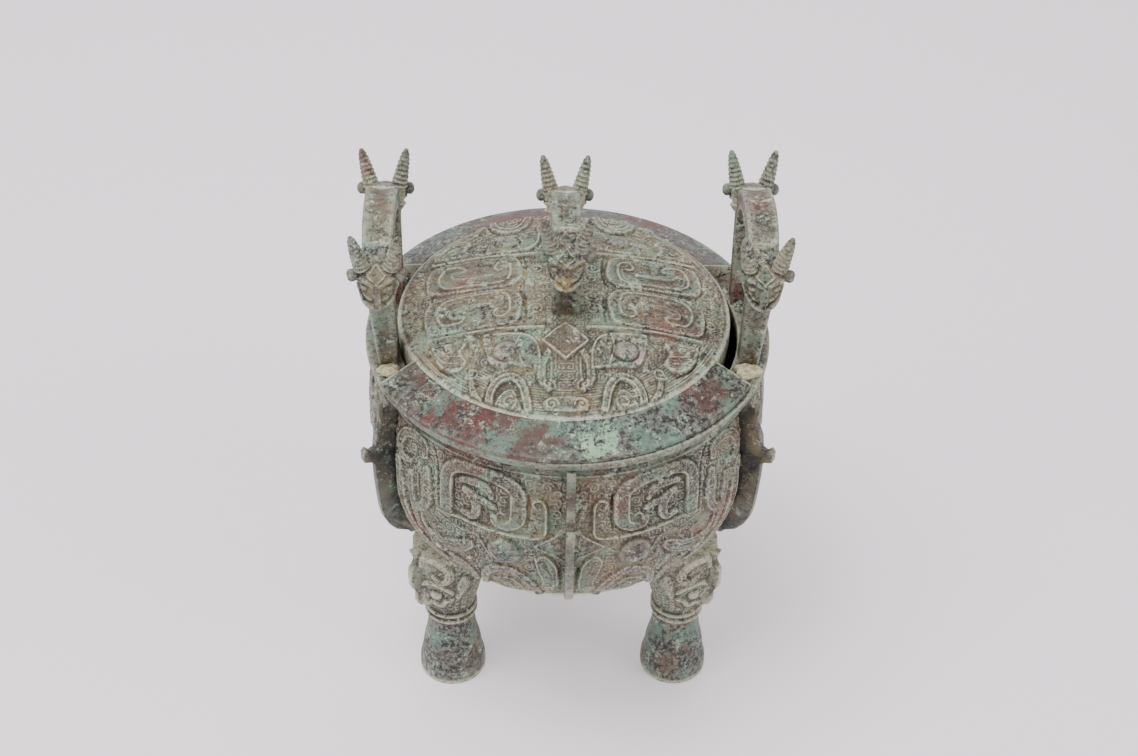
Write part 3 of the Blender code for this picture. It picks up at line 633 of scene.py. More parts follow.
def plate(name, points, thickness, edge_width):
    """A flat plate in the XZ plane with softened edges."""
    shape = bmesh.new()
    front = [shape.verts.new((x, -0.5 * thickness, z)) for x, z in points]
    face = shape.faces.new(front)
    pushed = bmesh.ops.extrude_face_region(shape, geom=[face])
    moved = [v for v in pushed["geom"] if isinstance(v, bmesh.types.BMVert)]
    bmesh.ops.translate(shape, verts=moved, vec=(0.0, thickness, 0.0))
    bmesh.ops.recalc_face_normals(shape, faces=shape.faces)
    mesh = bpy.data.meshes.new(name)
    shape.to_mesh(mesh)
    shape.free()
    piece = bpy.data.objects.new(name, mesh)
    bpy.context.scene.collection.objects.link(piece)
    soft = piece.modifiers.new("edges", "BEVEL")
    soft.width = edge_width
    soft.segments = 2
    soft.limit_method = "ANGLE"
    soft.angle_limit = math.radians(50.0)
    graph = bpy.context.evaluated_depsgraph_get()
    piece.data = bpy.data.meshes.new_from_object(piece.evaluated_get(graph))
    piece.modifiers.clear()
    return piece


def new_tree(name, inputs):
    """An empty geometry tree that takes and gives a shape, with inputs of its own."""
    tree = bpy.data.node_groups.new(name, "GeometryNodeTree")
    tree.interface.new_socket("Geometry", in_out="INPUT", socket_type="NodeSocketGeometry")
    for label, kind in inputs:
        tree.interface.new_socket(label, in_out="INPUT", socket_type=kind)
    tree.interface.new_socket("Geometry", in_out="OUTPUT", socket_type="NodeSocketGeometry")
    return tree


def run_tree(piece, tree, values):
    """Runs a node tree on a piece, keeps the result as a plain mesh and takes the modifier off again."""
    modifier = piece.modifiers.new("nodes", "NODES")
    modifier.node_group = tree
    sockets = {item.name: item.identifier for item in tree.interface.items_tree if item.in_out == "INPUT"}
    for label, value in values.items():
        modifier[sockets[label]] = value
    graph = bpy.context.evaluated_depsgraph_get()
    made = bpy.data.meshes.new_from_object(piece.evaluated_get(graph))
    piece.modifiers.remove(modifier)
    piece.data = made
    return piece


around = new_tree("round_the_vessel", (("Count", "NodeSocketInt"), ("Finish", "NodeSocketMaterial")))
nodes, links = around.nodes, around.links
came_in, goes_out = nodes.new("NodeGroupInput"), nodes.new("NodeGroupOutput")
points = nodes.new("GeometryNodePoints")
number = nodes.new("GeometryNodeInputIndex")
slice_angle = nodes.new("ShaderNodeMath")
slice_angle.operation = "DIVIDE"
slice_angle.inputs[0].default_value = 2.0 * math.pi
spin = nodes.new("ShaderNodeMath")
spin.operation = "MULTIPLY"
turn_vector = nodes.new("ShaderNodeCombineXYZ")
copies = nodes.new("GeometryNodeInstanceOnPoints")
realised = nodes.new("GeometryNodeRealizeInstances")
coat = nodes.new("GeometryNodeSetMaterial")
links.new(came_in.outputs["Count"], points.inputs["Count"])
links.new(came_in.outputs["Count"], slice_angle.inputs[1])
links.new(number.outputs["Index"], spin.inputs[0])
links.new(slice_angle.outputs[0], spin.inputs[1])
links.new(spin.outputs[0], turn_vector.inputs["Z"])
links.new(points.outputs[0], copies.inputs["Points"])
links.new(came_in.outputs["Geometry"], copies.inputs["Instance"])
links.new(turn_vector.outputs[0], copies.inputs["Rotation"])
links.new(copies.outputs[0], realised.inputs[0])
links.new(realised.outputs[0], coat.inputs["Geometry"])
links.new(came_in.outputs["Finish"], coat.inputs["Material"])
links.new(coat.outputs[0], goes_out.inputs[0])

# Painted shade: dark patches on the faces of the two flanges at either side of the front, standing in for the
# shadow on them.
flange_painted_shade = [((side * 0.098, -0.055, height), 0.060, (34, 33, 32)) for side in (-1.0, 1.0)
                 for height in (0.185, 0.130)]
flange_bronze = old_bronze("flange_bronze", -0.4, 0.0, 0.65, flange_painted_shade)
flanges = plate("flanges", flange_points(), flange_thickness, flange_edge)
flanges.data.transform(Matrix.Rotation(math.radians(-90.0), 4, "Z"))
run_tree(flanges, around, {"Count": flange_count, "Finish": flange_bronze})
flanges.data.shade_smooth()
flanges.data.set_sharp_from_angle(angle=math.radians(40.0))
weather(flanges, 4, 0.35)
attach(flanges, "root")
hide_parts("vessel")

# Three legs are cast hollow over a clay core and joined to the bowl in the pour. Each flares to a flat foot,
# has two cords round its waist and above them a small mask with a flange of its own.
foot_circle = 0.0700
foot_radius = 0.0178
waist_radius = 0.0126
root_radius = 0.0185
leg_top = 0.0960
cord_height = 0.0490
leg_flange_proud = 0.0050
leg_azimuths = {"left": -60.0, "right": 60.0, "back": 180.0}
leg_columns = 128
leg_profile = [(0.0, 0.0), (0.90 * foot_radius, 0.0), (0.99 * foot_radius, 0.0010), (foot_radius, 0.0036),
               (0.985 * foot_radius, 0.0080), (0.91 * foot_radius, 0.0140),
               (0.5 * (foot_radius + waist_radius), 0.0215),
               (1.06 * waist_radius, 0.0300), (waist_radius, 0.0370), (waist_radius, 0.0425),
               (waist_radius, cord_height),
               (1.03 * waist_radius, 0.0520), (1.12 * waist_radius, 0.0580), (1.28 * waist_radius, 0.0660),
               (1.42 * waist_radius, 0.0750), (root_radius, 0.0830), (0.99 * root_radius, 0.0900),
               (0.93 * root_radius, leg_top)]


def leg_mask(across, up):
    """The mask on a leg's outside, in millimetres across from its middle and up from the floor."""
    side = np.abs(across)
    relief = Relief(side, up)
    relief.raised(band(side, up, [(3.4, 88.0, 1.7), (4.6, 93.0, 1.9), (11.0, 94.4, 2.1), (18.0, 91.0, 2.2),
                                  (20.0, 84.0, 2.1), (15.5, 80.6, 1.7), (11.4, 84.2, 1.2)]), 1.5, 1.2, 1.2)
    relief.raised(band(side, up, [(3.6, 73.5, 1.0), (9.0, 78.0, 1.4), (16.0, 76.6, 1.3),
                                  (21.5, 72.0, 1.0)]), 1.2, 1.1)
    relief.raised(band(side, up, [(4.0, 57.5, 1.4), (8.5, 60.6, 1.7), (14.0, 59.6, 1.7), (17.6, 64.5, 1.4),
                                  (21.0, 66.0, 1.2)]), 1.3, 1.2)
    relief.raised(patch(side, up, [(0.5, 58.0), (4.6, 62.0), (4.0, 69.0), (2.4, 74.0), (0.5, 75.0)]), 1.1,
                  1.2, 1.0)
    relief.raised(patch(side, up, [(24.0, 66.0), (28.0, 70.0), (31.0, 78.0), (27.0, 84.0), (24.0, 76.0)]),
                  1.2, 1.2, 1.0)
    relief.thread(curl(side, up, 34.0, 68.0, 3.4, 1.5, 0.0, 0.4), 0.6)
    relief.thread(curl(side, up, 36.5, 82.0, 4.0, -1.6, 90.0, 0.4), 0.6)
    relief.thread(curl(side, up, 47.0, 75.0, 4.0, 1.6, 180.0, 0.4), 0.6)
    relief.boss(11.6, 69.0, 3.9, 3.3, 2.3)
    ground = (1.0 - relief.plain) * inside(54.0 - up, 1.5) * (1.0 - np.clip(relief.height, 0.0, 1.0))
    relief.height += ground * (0.45 * thunder(side, up, 4.4, 1.5) - 0.2)
    return relief.height


def leg(name, azimuth):
    curve = smooth(leg_profile, steps=7)
    length = np.concatenate([[0.0], np.cumsum(np.hypot(*np.diff(curve, axis=0).T))])
    rows = np.concatenate([np.linspace(0.0, foot_radius, 5)[1:],
                           np.linspace(foot_radius, length[-1], 106)[1:]])
    radius = np.interp(rows, length, curve[:, 0])
    height = np.clip(np.interp(rows, length, curve[:, 1]), 0.0, None)
    wide, tall = np.gradient(radius, rows), np.gradient(height, rows)
    turn = np.linspace(-math.pi, math.pi, leg_columns, endpoint=False)
    across, up = np.meshgrid(turn * root_radius / millimetre, height / millimetre)
    relief = leg_mask(across, up)
    for cord in (cord_height - 0.0042, cord_height + 0.0002):
        relief += 1.5 * np.exp(-((up - cord / millimetre) / 1.15) ** 4)
    relief *= np.clip(up / 6.0, 0.0, 1.0) * millimetre
    out = radius[:, None] + tall[:, None] * relief
    rise = height[:, None] - wide[:, None] * relief
    angle = turn[None, :] + math.radians(azimuth)
    axis_x = foot_circle * math.sin(math.radians(azimuth))
    axis_y = -foot_circle * math.cos(math.radians(azimuth))
    grid = np.dstack([axis_x + out * np.sin(angle), axis_y - out * np.cos(angle), np.maximum(rise, 0.0)])
    vertices = np.vstack([grid.reshape(-1, 3), [(axis_x, axis_y, 0.0)], [(axis_x, axis_y, height[-1])]])
    count = len(rows)
    faces = []
    for i in range(leg_columns):
        j = (i + 1) % leg_columns
        faces.append((i, j, count * leg_columns))
        faces.append(((count - 1) * leg_columns + i, (count - 1) * leg_columns + j,
                      count * leg_columns + 1))
        faces += [(r * leg_columns + i, r * leg_columns + j, (r + 1) * leg_columns + j,
                   (r + 1) * leg_columns + i)
                  for r in range(count - 1)]
    return solid(name, vertices.tolist(), faces, 75.0)


plate_out = root_radius + leg_flange_proud
leg_plate_points = [(0.5 * waist_radius, 0.0531), (1.05 * waist_radius, 0.0531), (0.80 * plate_out, 0.0562),
                    (0.87 * plate_out, 0.0585), (0.86 * plate_out, 0.0655), (0.93 * plate_out, 0.0690),
                    (1.0 * plate_out, 0.0715), (1.01 * plate_out, 0.0790), (1.0 * plate_out, 0.0840),
                    (0.90 * plate_out, 0.0868), (0.86 * plate_out, 0.0895), (0.92 * plate_out, 0.0935),
                    (0.96 * plate_out, 0.0965), (0.5 * waist_radius, 0.0965)]
leg_bronze = old_bronze("leg_bronze", -0.15, 0.15, 0.1)
for place, azimuth in leg_azimuths.items():
    made = leg("leg_" + place, azimuth)
    made.data.materials.append(leg_bronze)
    weather(made, 12)
    comb = plate("leg_flange_" + place, leg_plate_points, flange_thickness, flange_edge)
    comb.data.transform(Matrix.Rotation(math.radians(azimuth), 4,
                                        "Z") @ Matrix.Translation((0.0, -foot_circle, 0.0))
                        @ Matrix.Rotation(math.radians(-90.0), 4, "Z"))
    comb.data.materials.append(leg_bronze)
    comb.data.shade_smooth()
    comb.data.set_sharp_from_angle(angle=math.radians(40.0))
    weather(comb, 4)
    for piece in (made, comb):
        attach(piece, "root")
        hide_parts("vessel")

# The lid's dome carries two masks that meet back to back under the handle, each with horns, eyes, ears and jaws,
# raised from a ground of fine threads. It is cast in one with its brim, handle and tongue.
lid_shift = 0.0020
ring_radius = 0.0816
brim_thickness = 0.0030
brim_top = brim_edge_height + 0.0002
brim_bottom = brim_top - brim_thickness
brim_rise = 0.0066
dome_rise = 0.0150
lid_wall = 0.0028
dome_squares = 286
dome_edge_drop = 0.0011


def dome_height(radius):
    """The dome's height over the floor, with a small step down at its edge."""
    share = np.clip(radius / ring_radius, 0.0, 1.0)
    step = dome_edge_drop * np.clip((share - 0.975) / 0.025, 0.0, 1.0) ** 2
    return brim_top + brim_rise + 0.0006 + dome_rise * (1.0 - share ** 2) - step


def lid_mask(x, y):
    """Both masks' halves at once, in millimetres from the lid's middle to the side and the edge."""
    side, out = np.abs(x), np.abs(y)
    relief = Relief(side, out)
    scale = ring_radius / millimetre

    def at(points):
        return [(px * scale, py * scale, *width) for px, py, *width in points]

    panel = at([(0.825, 0.10), (0.775, 0.035), (0.60, 0.012), (0.37, 0.012), (0.29, 0.04), (0.252, 0.11),
                (0.262, 0.24),
                (0.30, 0.315), (0.45, 0.33), (0.76, 0.33), (0.822, 0.25)])
    relief.raised(patch(side, out, panel), 1.5, 1.2)
    relief.raised(patch(side, out, at([(0.47, 0.388), (0.30, 0.392), (0.20, 0.42), (0.152, 0.52),
                                       (0.150, 0.66),
                                       (0.29, 0.635), (0.40, 0.625), (0.45, 0.56)])), 1.1, 1.2)
    ear = at([(0.79, 0.43), (0.68, 0.415), (0.575, 0.43), (0.60, 0.50), (0.57, 0.585), (0.63, 0.635),
              (0.70, 0.60),
              (0.755, 0.525)])
    relief.raised(patch(side, out, ear), 1.4, 1.2)
    jaw = at([(0.445, 0.90, 1.9), (0.425, 0.79, 2.1), (0.375, 0.725, 2.2), (0.30, 0.715, 2.2),
              (0.245, 0.79, 2.2),
              (0.215, 0.93, 1.9)])
    relief.raised(band(side, out, jaw), 1.4, 1.2)
    relief.raised(patch(side, out, at([(0.40, 0.90), (0.37, 0.82), (0.31, 0.795), (0.275, 0.86),
                                       (0.265, 0.935)])),
                  1.0, 1.2, 1.2)
    snout = at([(0.10, 0.55, 1.5), (0.135, 0.64, 1.9), (0.14, 0.74, 1.9), (0.10, 0.80, 1.6)])
    relief.raised(band(side, out, snout), 1.3, 1.2)
    relief.raised(patch(side, out, at([(-0.02, 0.32), (0.06, 0.38), (0.135, 0.47), (0.06, 0.55),
                                       (-0.02, 0.62),
                                       (-0.10, 0.50), (-0.10, 0.42)])), 1.2, 1.0)
    relief.raised(patch(side, out, at([(-0.05, 0.87), (0.06, 0.855), (0.13, 0.885), (0.11, 0.94),
                                       (0.0, 0.95),
                                       (-0.06, 0.94)])), 1.2, 1.2)
    beam = at([(0.545, 0.70, 1.3), (0.53, 0.78, 1.5), (0.50, 0.85, 1.6)])
    relief.raised(band(side, out, beam), 1.2, 1.2)
    lift = np.clip(relief.height / 1.3, 0.0, 1.0)

    inner_well = patch(side, out, at([(0.70, 0.255), (0.715, 0.15), (0.66, 0.088), (0.40, 0.085),
                                      (0.365, 0.13),
                                      (0.365, 0.21), (0.46, 0.27)]))
    relief.cut(inner_well, 0.5, 1.0)
    tongue = at([(0.44, 0.14, 1.2), (0.55, 0.145, 1.7), (0.64, 0.165, 2.2), (0.66, 0.20, 2.3),
                 (0.61, 0.22, 1.5)])
    smooth_tongue = band(side, out, tongue)
    relief.height = np.maximum(relief.height, 1.9 * inside(smooth_tongue, 1.6))
    relief.plain = np.maximum(relief.plain, inside(smooth_tongue, 1.0))
    c_line = at([(0.589, 0.225), (0.615, 0.265), (0.70, 0.275), (0.742, 0.22), (0.75, 0.14), (0.722, 0.082),
                 (0.65, 0.055),
                 (0.50, 0.048), (0.37, 0.055), (0.33, 0.10), (0.322, 0.195), (0.342, 0.25), (0.39, 0.262),
                 (0.418, 0.225), (0.40, 0.19), (0.37, 0.195)])
    relief.thread(band(side, out, c_line, 0.5), 0.85)
    for line in (at([(0.47, 0.40), (0.30, 0.405), (0.20, 0.44), (0.155, 0.53), (0.15, 0.665)]),
                 at([(0.15, 0.665), (0.29, 0.64), (0.40, 0.63), (0.45, 0.57)]),
                 at([(0.26, 0.41), (0.28, 0.50), (0.25, 0.63)]),
                 at([(0.0, 0.34), (0.06, 0.39), (0.13, 0.47)]),
                 at([(0.13, 0.47), (0.06, 0.54), (0.0, 0.60)]),
                 at([(0.145, 0.47), (0.09, 0.57), (0.085, 0.70), (0.10, 0.82)]),
                 at([(0.74, 0.45), (0.68, 0.515), (0.60, 0.53)]),
                 at([(0.76, 0.47), (0.70, 0.555), (0.62, 0.58)]),
                 at([(0.43, 0.90), (0.41, 0.80), (0.365, 0.742), (0.305, 0.735), (0.26, 0.80),
                     (0.232, 0.93)])):
        relief.thread(band(side, out, line, 0.4), 0.6)
    for spot in ((0.54, 0.655, 0.045, 1.3, 30.0), (0.10, 0.775, 0.042, 1.5, 90.0),
                 (0.085, 0.905, 0.040, 1.4, 180.0),
                 (0.325, 0.875, 0.050, 1.5, 60.0), (0.17, 0.20, 0.050, -1.4, 0.0),
                 (0.16, 0.085, 0.042, 1.4, 90.0),
                 (0.865, 0.20, 0.04, 1.3, 200.0), (0.68, 0.47, 0.030, 1.2, 0.0)):
        cx, cy, reach, turns, start = spot
        relief.thread(curl(side, out, cx * scale, cy * scale, reach * scale, turns, start, 0.4), 0.65, 0.85)
    relief.boss(0.345 * scale, 0.525 * scale, 6.0, 5.8, 3.1)
    ridge = band(side, out, at([(0.128, 0.362), (0.30, 0.356), (0.50, 0.358), (0.80, 0.366)]), 0.7)
    relief.height = np.maximum(relief.height, 1.9 * inside(ridge, 1.6))
    relief.plain = np.maximum(relief.plain, inside(ridge - 0.3, 1.2))
    for line, width, depth in ((at([(0.838, 0.24), (0.842, 0.12), (0.79, 0.018)]), 0.5, 0.9),
                               (at([(0.235, 0.30), (0.228, 0.12), (0.26, 0.02)]), 0.5, 0.9),
                               (at([(0.79, 0.40), (0.74, 0.57), (0.64, 0.66)]), 0.5, 1.0),
                               (at([(0.48, 0.92), (0.462, 0.80), (0.42, 0.70), (0.35, 0.675)]), 0.5, 0.9),
                               (at([(0.28, 0.345), (0.78, 0.349)]), 0.35, 0.5)):
        relief.cut(band(side, out, line, width), depth)

    reach = np.hypot(x, y) / scale
    rings = 0.5 + 0.5 * np.cos(2.0 * np.pi * reach * scale / 1.35)
    spirals = thunder(side + 0.8, out + 1.4, 5.2, 1.5)
    near_edge = inside((0.78 - reach) * scale, 6.0) * inside((0.36 - out / scale) * scale, 4.0)
    ground = rings * near_edge + spirals * (1.0 - near_edge)
    open_ground = (1.0 - relief.plain) * inside((reach - 0.965) * scale, 1.2)
    relief.height += open_ground * (1.0 - lift) * (0.48 * ground - 0.2)
    relief.height += open_ground * lift * (0.30 * thunder(side + 2.1, out, 4.2, 1.4) - 0.15)
    return relief.height * inside((reach - 0.972) * scale, 1.2)


def dome():
    """The dome as one closed shell, on squares that spread evenly from its middle to its round edge."""
    steps = np.linspace(-1.0, 1.0, dome_squares + 1)
    a, b = np.meshgrid(steps, steps)
    wide = np.abs(a) >= np.abs(b)
    safe_a = np.where(a == 0.0, 1.0, a)
    safe_b = np.where(b == 0.0, 1.0, b)
    reach = np.where(wide, a, b)
    angle = np.where(wide, 0.25 * np.pi * b / safe_a, 0.5 * np.pi - 0.25 * np.pi * a / safe_b)
    x = ring_radius * reach * np.cos(angle)
    y = ring_radius * reach * np.sin(angle)
    radius = np.hypot(x, y)
    relief = lid_mask(x / millimetre, y / millimetre) * millimetre
    slope = -2.0 * dome_rise * radius / ring_radius ** 2
    square = 1.0 / np.sqrt(1.0 + slope ** 2)
    away = np.where(radius > 1e-9, radius, 1.0)
    top = np.dstack([x - slope * square * relief * x / away - lid_shift,
                     y - slope * square * relief * y / away,
                     dome_height(radius) + square * relief])
    side = dome_squares + 1
    faces = [(r * side + c, r * side + c + 1, (r + 1) * side + c + 1, (r + 1) * side + c)
             for r in range(dome_squares) for c in range(dome_squares)]
    edge = [c for c in range(side)] + [r * side + side - 1 for r in range(1, side)]
    edge += [(side - 1) * side + c for c in range(side - 2, -1, -1)] + [r * side for r in range(side - 2, 0,
                                                                                                -1)]
    rim_points = top.reshape(-1, 3)[edge] + [lid_shift, 0.0, 0.0]
    rows = [top.reshape(-1, 3)]
    previous = edge
    start = side * side
    for share in (1.0, 0.985, 0.66, 0.33):
        ring = rim_points * share
        ring[:, 2] = dome_height(0.95 * ring_radius * share) - lid_wall
        rows.append(ring - [lid_shift, 0.0, 0.0])
        current = [start + i for i in range(len(edge))]
        faces += [(previous[i], previous[(i + 1) % len(edge)], current[(i + 1) % len(edge)], current[i])
                  for i in range(len(edge))]
        previous = current
        start += len(edge)
    rows.append(np.array([[-lid_shift, 0.0, dome_height(0.0) - lid_wall]]))
    faces += [(previous[i], previous[(i + 1) % len(edge)], start) for i in range(len(edge))]
    return solid("lid_dome", np.vstack(rows).tolist(), faces, 70.0)


# Patches on the dome: red oxide, grey, green and earth stains, and the two pale pink patches on the eye bosses,
# which are painted highlights.
dome_stains_and_sheen = [((0.045, -0.018, 0.228), 0.018, (104, 56, 50)),
               ((-0.002, -0.040, 0.227), 0.011, (92, 58, 54)),
               ((-0.045, 0.022, 0.228), 0.020, (88, 84, 82)),
               ((-0.064, -0.030, 0.222), 0.014, (142, 170, 150)),
               ((0.060, -0.046, 0.220), 0.012, (142, 170, 150)),
               ((-0.034, -0.046, 0.226), 0.007, (170, 152, 150)),
               ((0.030, -0.046, 0.226), 0.007, (164, 140, 142)),
               ((0.008, -0.072, 0.219), 0.008, (176, 146, 100))]
dome_bronze = old_bronze("dome_bronze", 0.0, 0.15, 0.0, dome_stains_and_sheen)
lid_dome = dome()
lid_dome.data.materials.append(dome_bronze)
weather(lid_dome)
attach(lid_dome, "root")
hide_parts("lid")

# The brim slopes down from the dome and is cut away at either side, where the bowl's handles stand.
# The tongue under it keeps the lid from sliding off the bowl's mouth.
notch_half_angle = 28.0
tongue_radius = 0.0814
tongue_thickness = 0.0028
tongue_depth = 0.0060
brim_outline = [(ring_radius - 0.0022, brim_bottom + 0.0004), (rim_radius - 0.0006, brim_bottom),
                (rim_radius, brim_bottom + 0.0006), (rim_radius, brim_top),
                (ring_radius + 0.0006, brim_top + brim_rise),
                (ring_radius - 0.0022, brim_top + brim_rise)]
tongue_outline = [(tongue_radius - tongue_thickness, brim_bottom - tongue_depth),
                  (tongue_radius, brim_bottom - tongue_depth), (tongue_radius, brim_bottom),
                  (ring_radius + 0.0002, brim_bottom + 0.0004),
                  (ring_radius + 0.0002, brim_top + brim_rise - 0.0004),
                  (tongue_radius - tongue_thickness, brim_top + brim_rise - 0.0008)]
brim_stains = [((0.012, -0.091, 0.2145), 0.012, (164, 198, 164)),
               ((-0.055, -0.072, 0.2145), 0.030, (98, 42, 37)),
               ((-0.022, -0.090, 0.2145), 0.020, (92, 50, 44)),
               ((0.066, -0.062, 0.2145), 0.014, (92, 54, 48)),
               ((0.035, -0.085, 0.2145), 0.010, (84, 100, 92))]
brim_bronze = old_bronze("brim_bronze", 0.2, -0.2, 0.15, brim_stains)
for name, outline, first, last, columns, step in (
        ("lid_brim_front", brim_outline, notch_half_angle - 90.0, 90.0 - notch_half_angle, 150, 0.0018),
        ("lid_brim_back", brim_outline, 90.0 + notch_half_angle, 270.0 - notch_half_angle, 150, 0.0018),
        ("lid_tongue", tongue_outline, 0.0, 360.0, 180, 0.01)):
    made = swept(name, filled(rounded(outline, 0.0007), step), first, last, columns, -lid_shift)
    made.data.materials.append(brim_bronze)
    weather(made, 6, 0.5)
    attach(made, "root")
    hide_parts("lid")

# Two loops stand on the bowl's rim and one on the lid. Each is a flat strap bent into an arch, cast in place,
# wider at the top than at the foot on the rim, and smooth on its sides.
handle_inner = 0.0823
handle_foot_width = 0.0095
handle_top_width = 0.0150
handle_foot = rim_height - 0.5 * rim_thickness
handle_top = rim_height + 0.0740
handle_half_span = 0.0340
handle_foot_half_span = 0.0290
handle_bar = 0.0105
lid_handle_width = 0.0135
lid_handle_half_span = 0.0230
lid_handle_bar = 0.0090
lid_handle_foot = 0.0290 + 0.2005
lid_handle_top = brim_top + brim_rise + dome_rise + 0.0500
strap_steps = 150


def strap(name, foot, top, half_span, foot_half_span, bar, faces_at):
    """An arch from the front foot to the back one, with rounded edges and an outer face a little hollow."""
    shoulder = foot + 0.62 * (top - foot)
    legs = np.linspace(0.0, 1.0, 30)
    turn = np.linspace(0.0, np.pi, strap_steps - 58)[1:-1]
    outer = [(foot_half_span + (half_span - foot_half_span) * t,
              foot + (shoulder - foot) * t) for t in legs]
    inner = [(y - bar, z) for y, z in outer]
    bow = np.sin(turn) ** 0.8
    outer += list(zip(half_span * np.cos(turn), shoulder + (top - shoulder) * bow))
    inner += list(zip((half_span - bar) * np.cos(turn), shoulder + (top - 0.95 * bar - shoulder) * bow))
    outer += [(-y, z) for y, z in outer[29::-1]]
    inner += [(-y, z) for y, z in inner[29::-1]]
    ring = rounded([(0.0, 0.0), (0.5, 0.0), (1.0, 0.0), (1.0, 0.5), (1.0, 1.0), (0.5, 1.0), (0.0, 1.0),
                    (0.0, 0.5)],
                   0.16, 4)
    ring[:, 1] -= 0.07 * np.clip(1.0 - ((ring[:, 0] - 0.5) / 0.36) ** 2, 0.0, 1.0) * (ring[:, 1] > 0.9)
    ring[:, 0] += 0.05 * (ring[:, 0] < 0.1) * np.clip(1.0 - ((ring[:, 1] - 0.5) / 0.36) ** 2, 0.0, 1.0)
    vertices = []
    for (outer_y, outer_z), (inner_y, inner_z) in zip(outer, inner):
        for wide, thick in ring:
            y = inner_y + (outer_y - inner_y) * thick
            z = inner_z + (outer_z - inner_z) * thick
            near, far = faces_at(z)
            vertices.append((near + (far - near) * wide, y, z))
    across = len(ring)
    faces = [(i * across + k, (i + 1) * across + k, (i + 1) * across + (k + 1) % across,
              i * across + (k + 1) % across)
             for i in range(len(outer) - 1) for k in range(across)]
    faces.append(list(range(across)))
    faces.append([(len(outer) - 1) * across + k for k in range(across)])
    return solid(name, vertices, faces, 45.0)


def rim_faces(side):
    def at(height):
        share = (height - handle_foot) / (handle_top - handle_foot)
        width = handle_foot_width + (handle_top_width - handle_foot_width) * share
        return side * handle_inner, side * (handle_inner + width)
    return at


def lid_faces(height):
    return -0.5 * lid_handle_width - lid_shift, 0.5 * lid_handle_width - lid_shift


strap_bronze = old_bronze("strap_bronze", 0.2, 0.35, 0.1)
straps = {"left_handle": (strap("left_handle", handle_foot, handle_top, handle_half_span,
                                handle_foot_half_span,
                                handle_bar, rim_faces(-1.0)), "vessel"),
          "right_handle": (strap("right_handle", handle_foot, handle_top, handle_half_span,
                                 handle_foot_half_span,
                                 handle_bar, rim_faces(1.0)), "vessel"),
          "lid_handle": (strap("lid_handle", lid_handle_foot, lid_handle_top, lid_handle_half_span,
                               lid_handle_half_span - 0.002, lid_handle_bar, lid_faces), "lid")}
for made, node in straps.values():
    made.data.materials.append(strap_bronze)
    weather(made, 8, 0.45)
    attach(made, "root")
    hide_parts(node)

# An animal head looks out from each shoulder of each loop: a lozenge on its brow, heavy eyebrows over round eyes,
# a crescent round the muzzle and stubby round ears, cast on with the loop.
head_width = 0.0200
head_height = 0.0225
head_proud = 0.0085
head_columns = 66
head_rows = 76
ear_length = 0.0066
brow_share = 0.86
lid_brow_share = 0.84
face_share = 0.93


def head_face(across, drop):
    """The carving of a head's front half, in millimetres round it and down from its top."""
    side = np.abs(across)
    relief = Relief(side, drop)
    relief.raised(band(side, drop, [(0.0, 13.0, 1.6), (0.0, 18.0, 1.9), (0.0, 22.0, 2.4)]), 1.1, 1.8)
    relief.raised(band(side, drop, [(1.2, 12.6, 0.9), (4.2, 10.6, 1.2), (8.0, 10.2, 1.2),
                                    (11.4, 12.4, 0.8)]), 1.5, 1.2)
    relief.cut(band(side, drop, [(2.8, 14.6), (6.0, 17.6), (8.6, 18.0)], 0.8), 0.9, 1.4)
    relief.raised(band(side, drop, [(3.0, 20.0, 0.7), (5.8, 19.4, 0.8), (7.6, 17.0, 0.6)]), 0.9, 1.0)
    relief.boss(5.6, 14.2, 2.2, 1.8, 1.6)
    relief.raised(band(side, drop, [(0.0, 25.2, 1.2), (4.6, 24.0, 1.25), (9.0, 20.8, 1.2),
                                    (12.4, 15.8, 0.8)]), 1.7, 1.3)
    relief.cut(band(side, drop, [(0.0, 23.0), (4.2, 21.9), (8.2, 19.2)], 0.4), 0.7, 0.9)
    lozenge = np.abs(side) / 3.3 + np.abs(drop - 7.6) / 3.9
    relief.height += 0.95 * np.exp(-((lozenge - 1.0) / 0.15) ** 2) - 0.5 * inside((lozenge - 0.8) * 3.0,
                                                                                  0.6)
    relief.thread(curl(side, drop, 8.8, 6.0, 1.8, 1.2, 0.0, 0.3), 0.4, 0.7)
    return relief.height


def strap_reach(height, foot, top, half_span):
    """How far the strap's outer side lies from its middle at a height, front or back."""
    shoulder = foot + 0.62 * (top - foot)
    rise = np.clip((height - shoulder) / (top - shoulder), 0.0, 1.0) ** 1.25
    return half_span * np.sqrt(1.0 - rise ** 2)


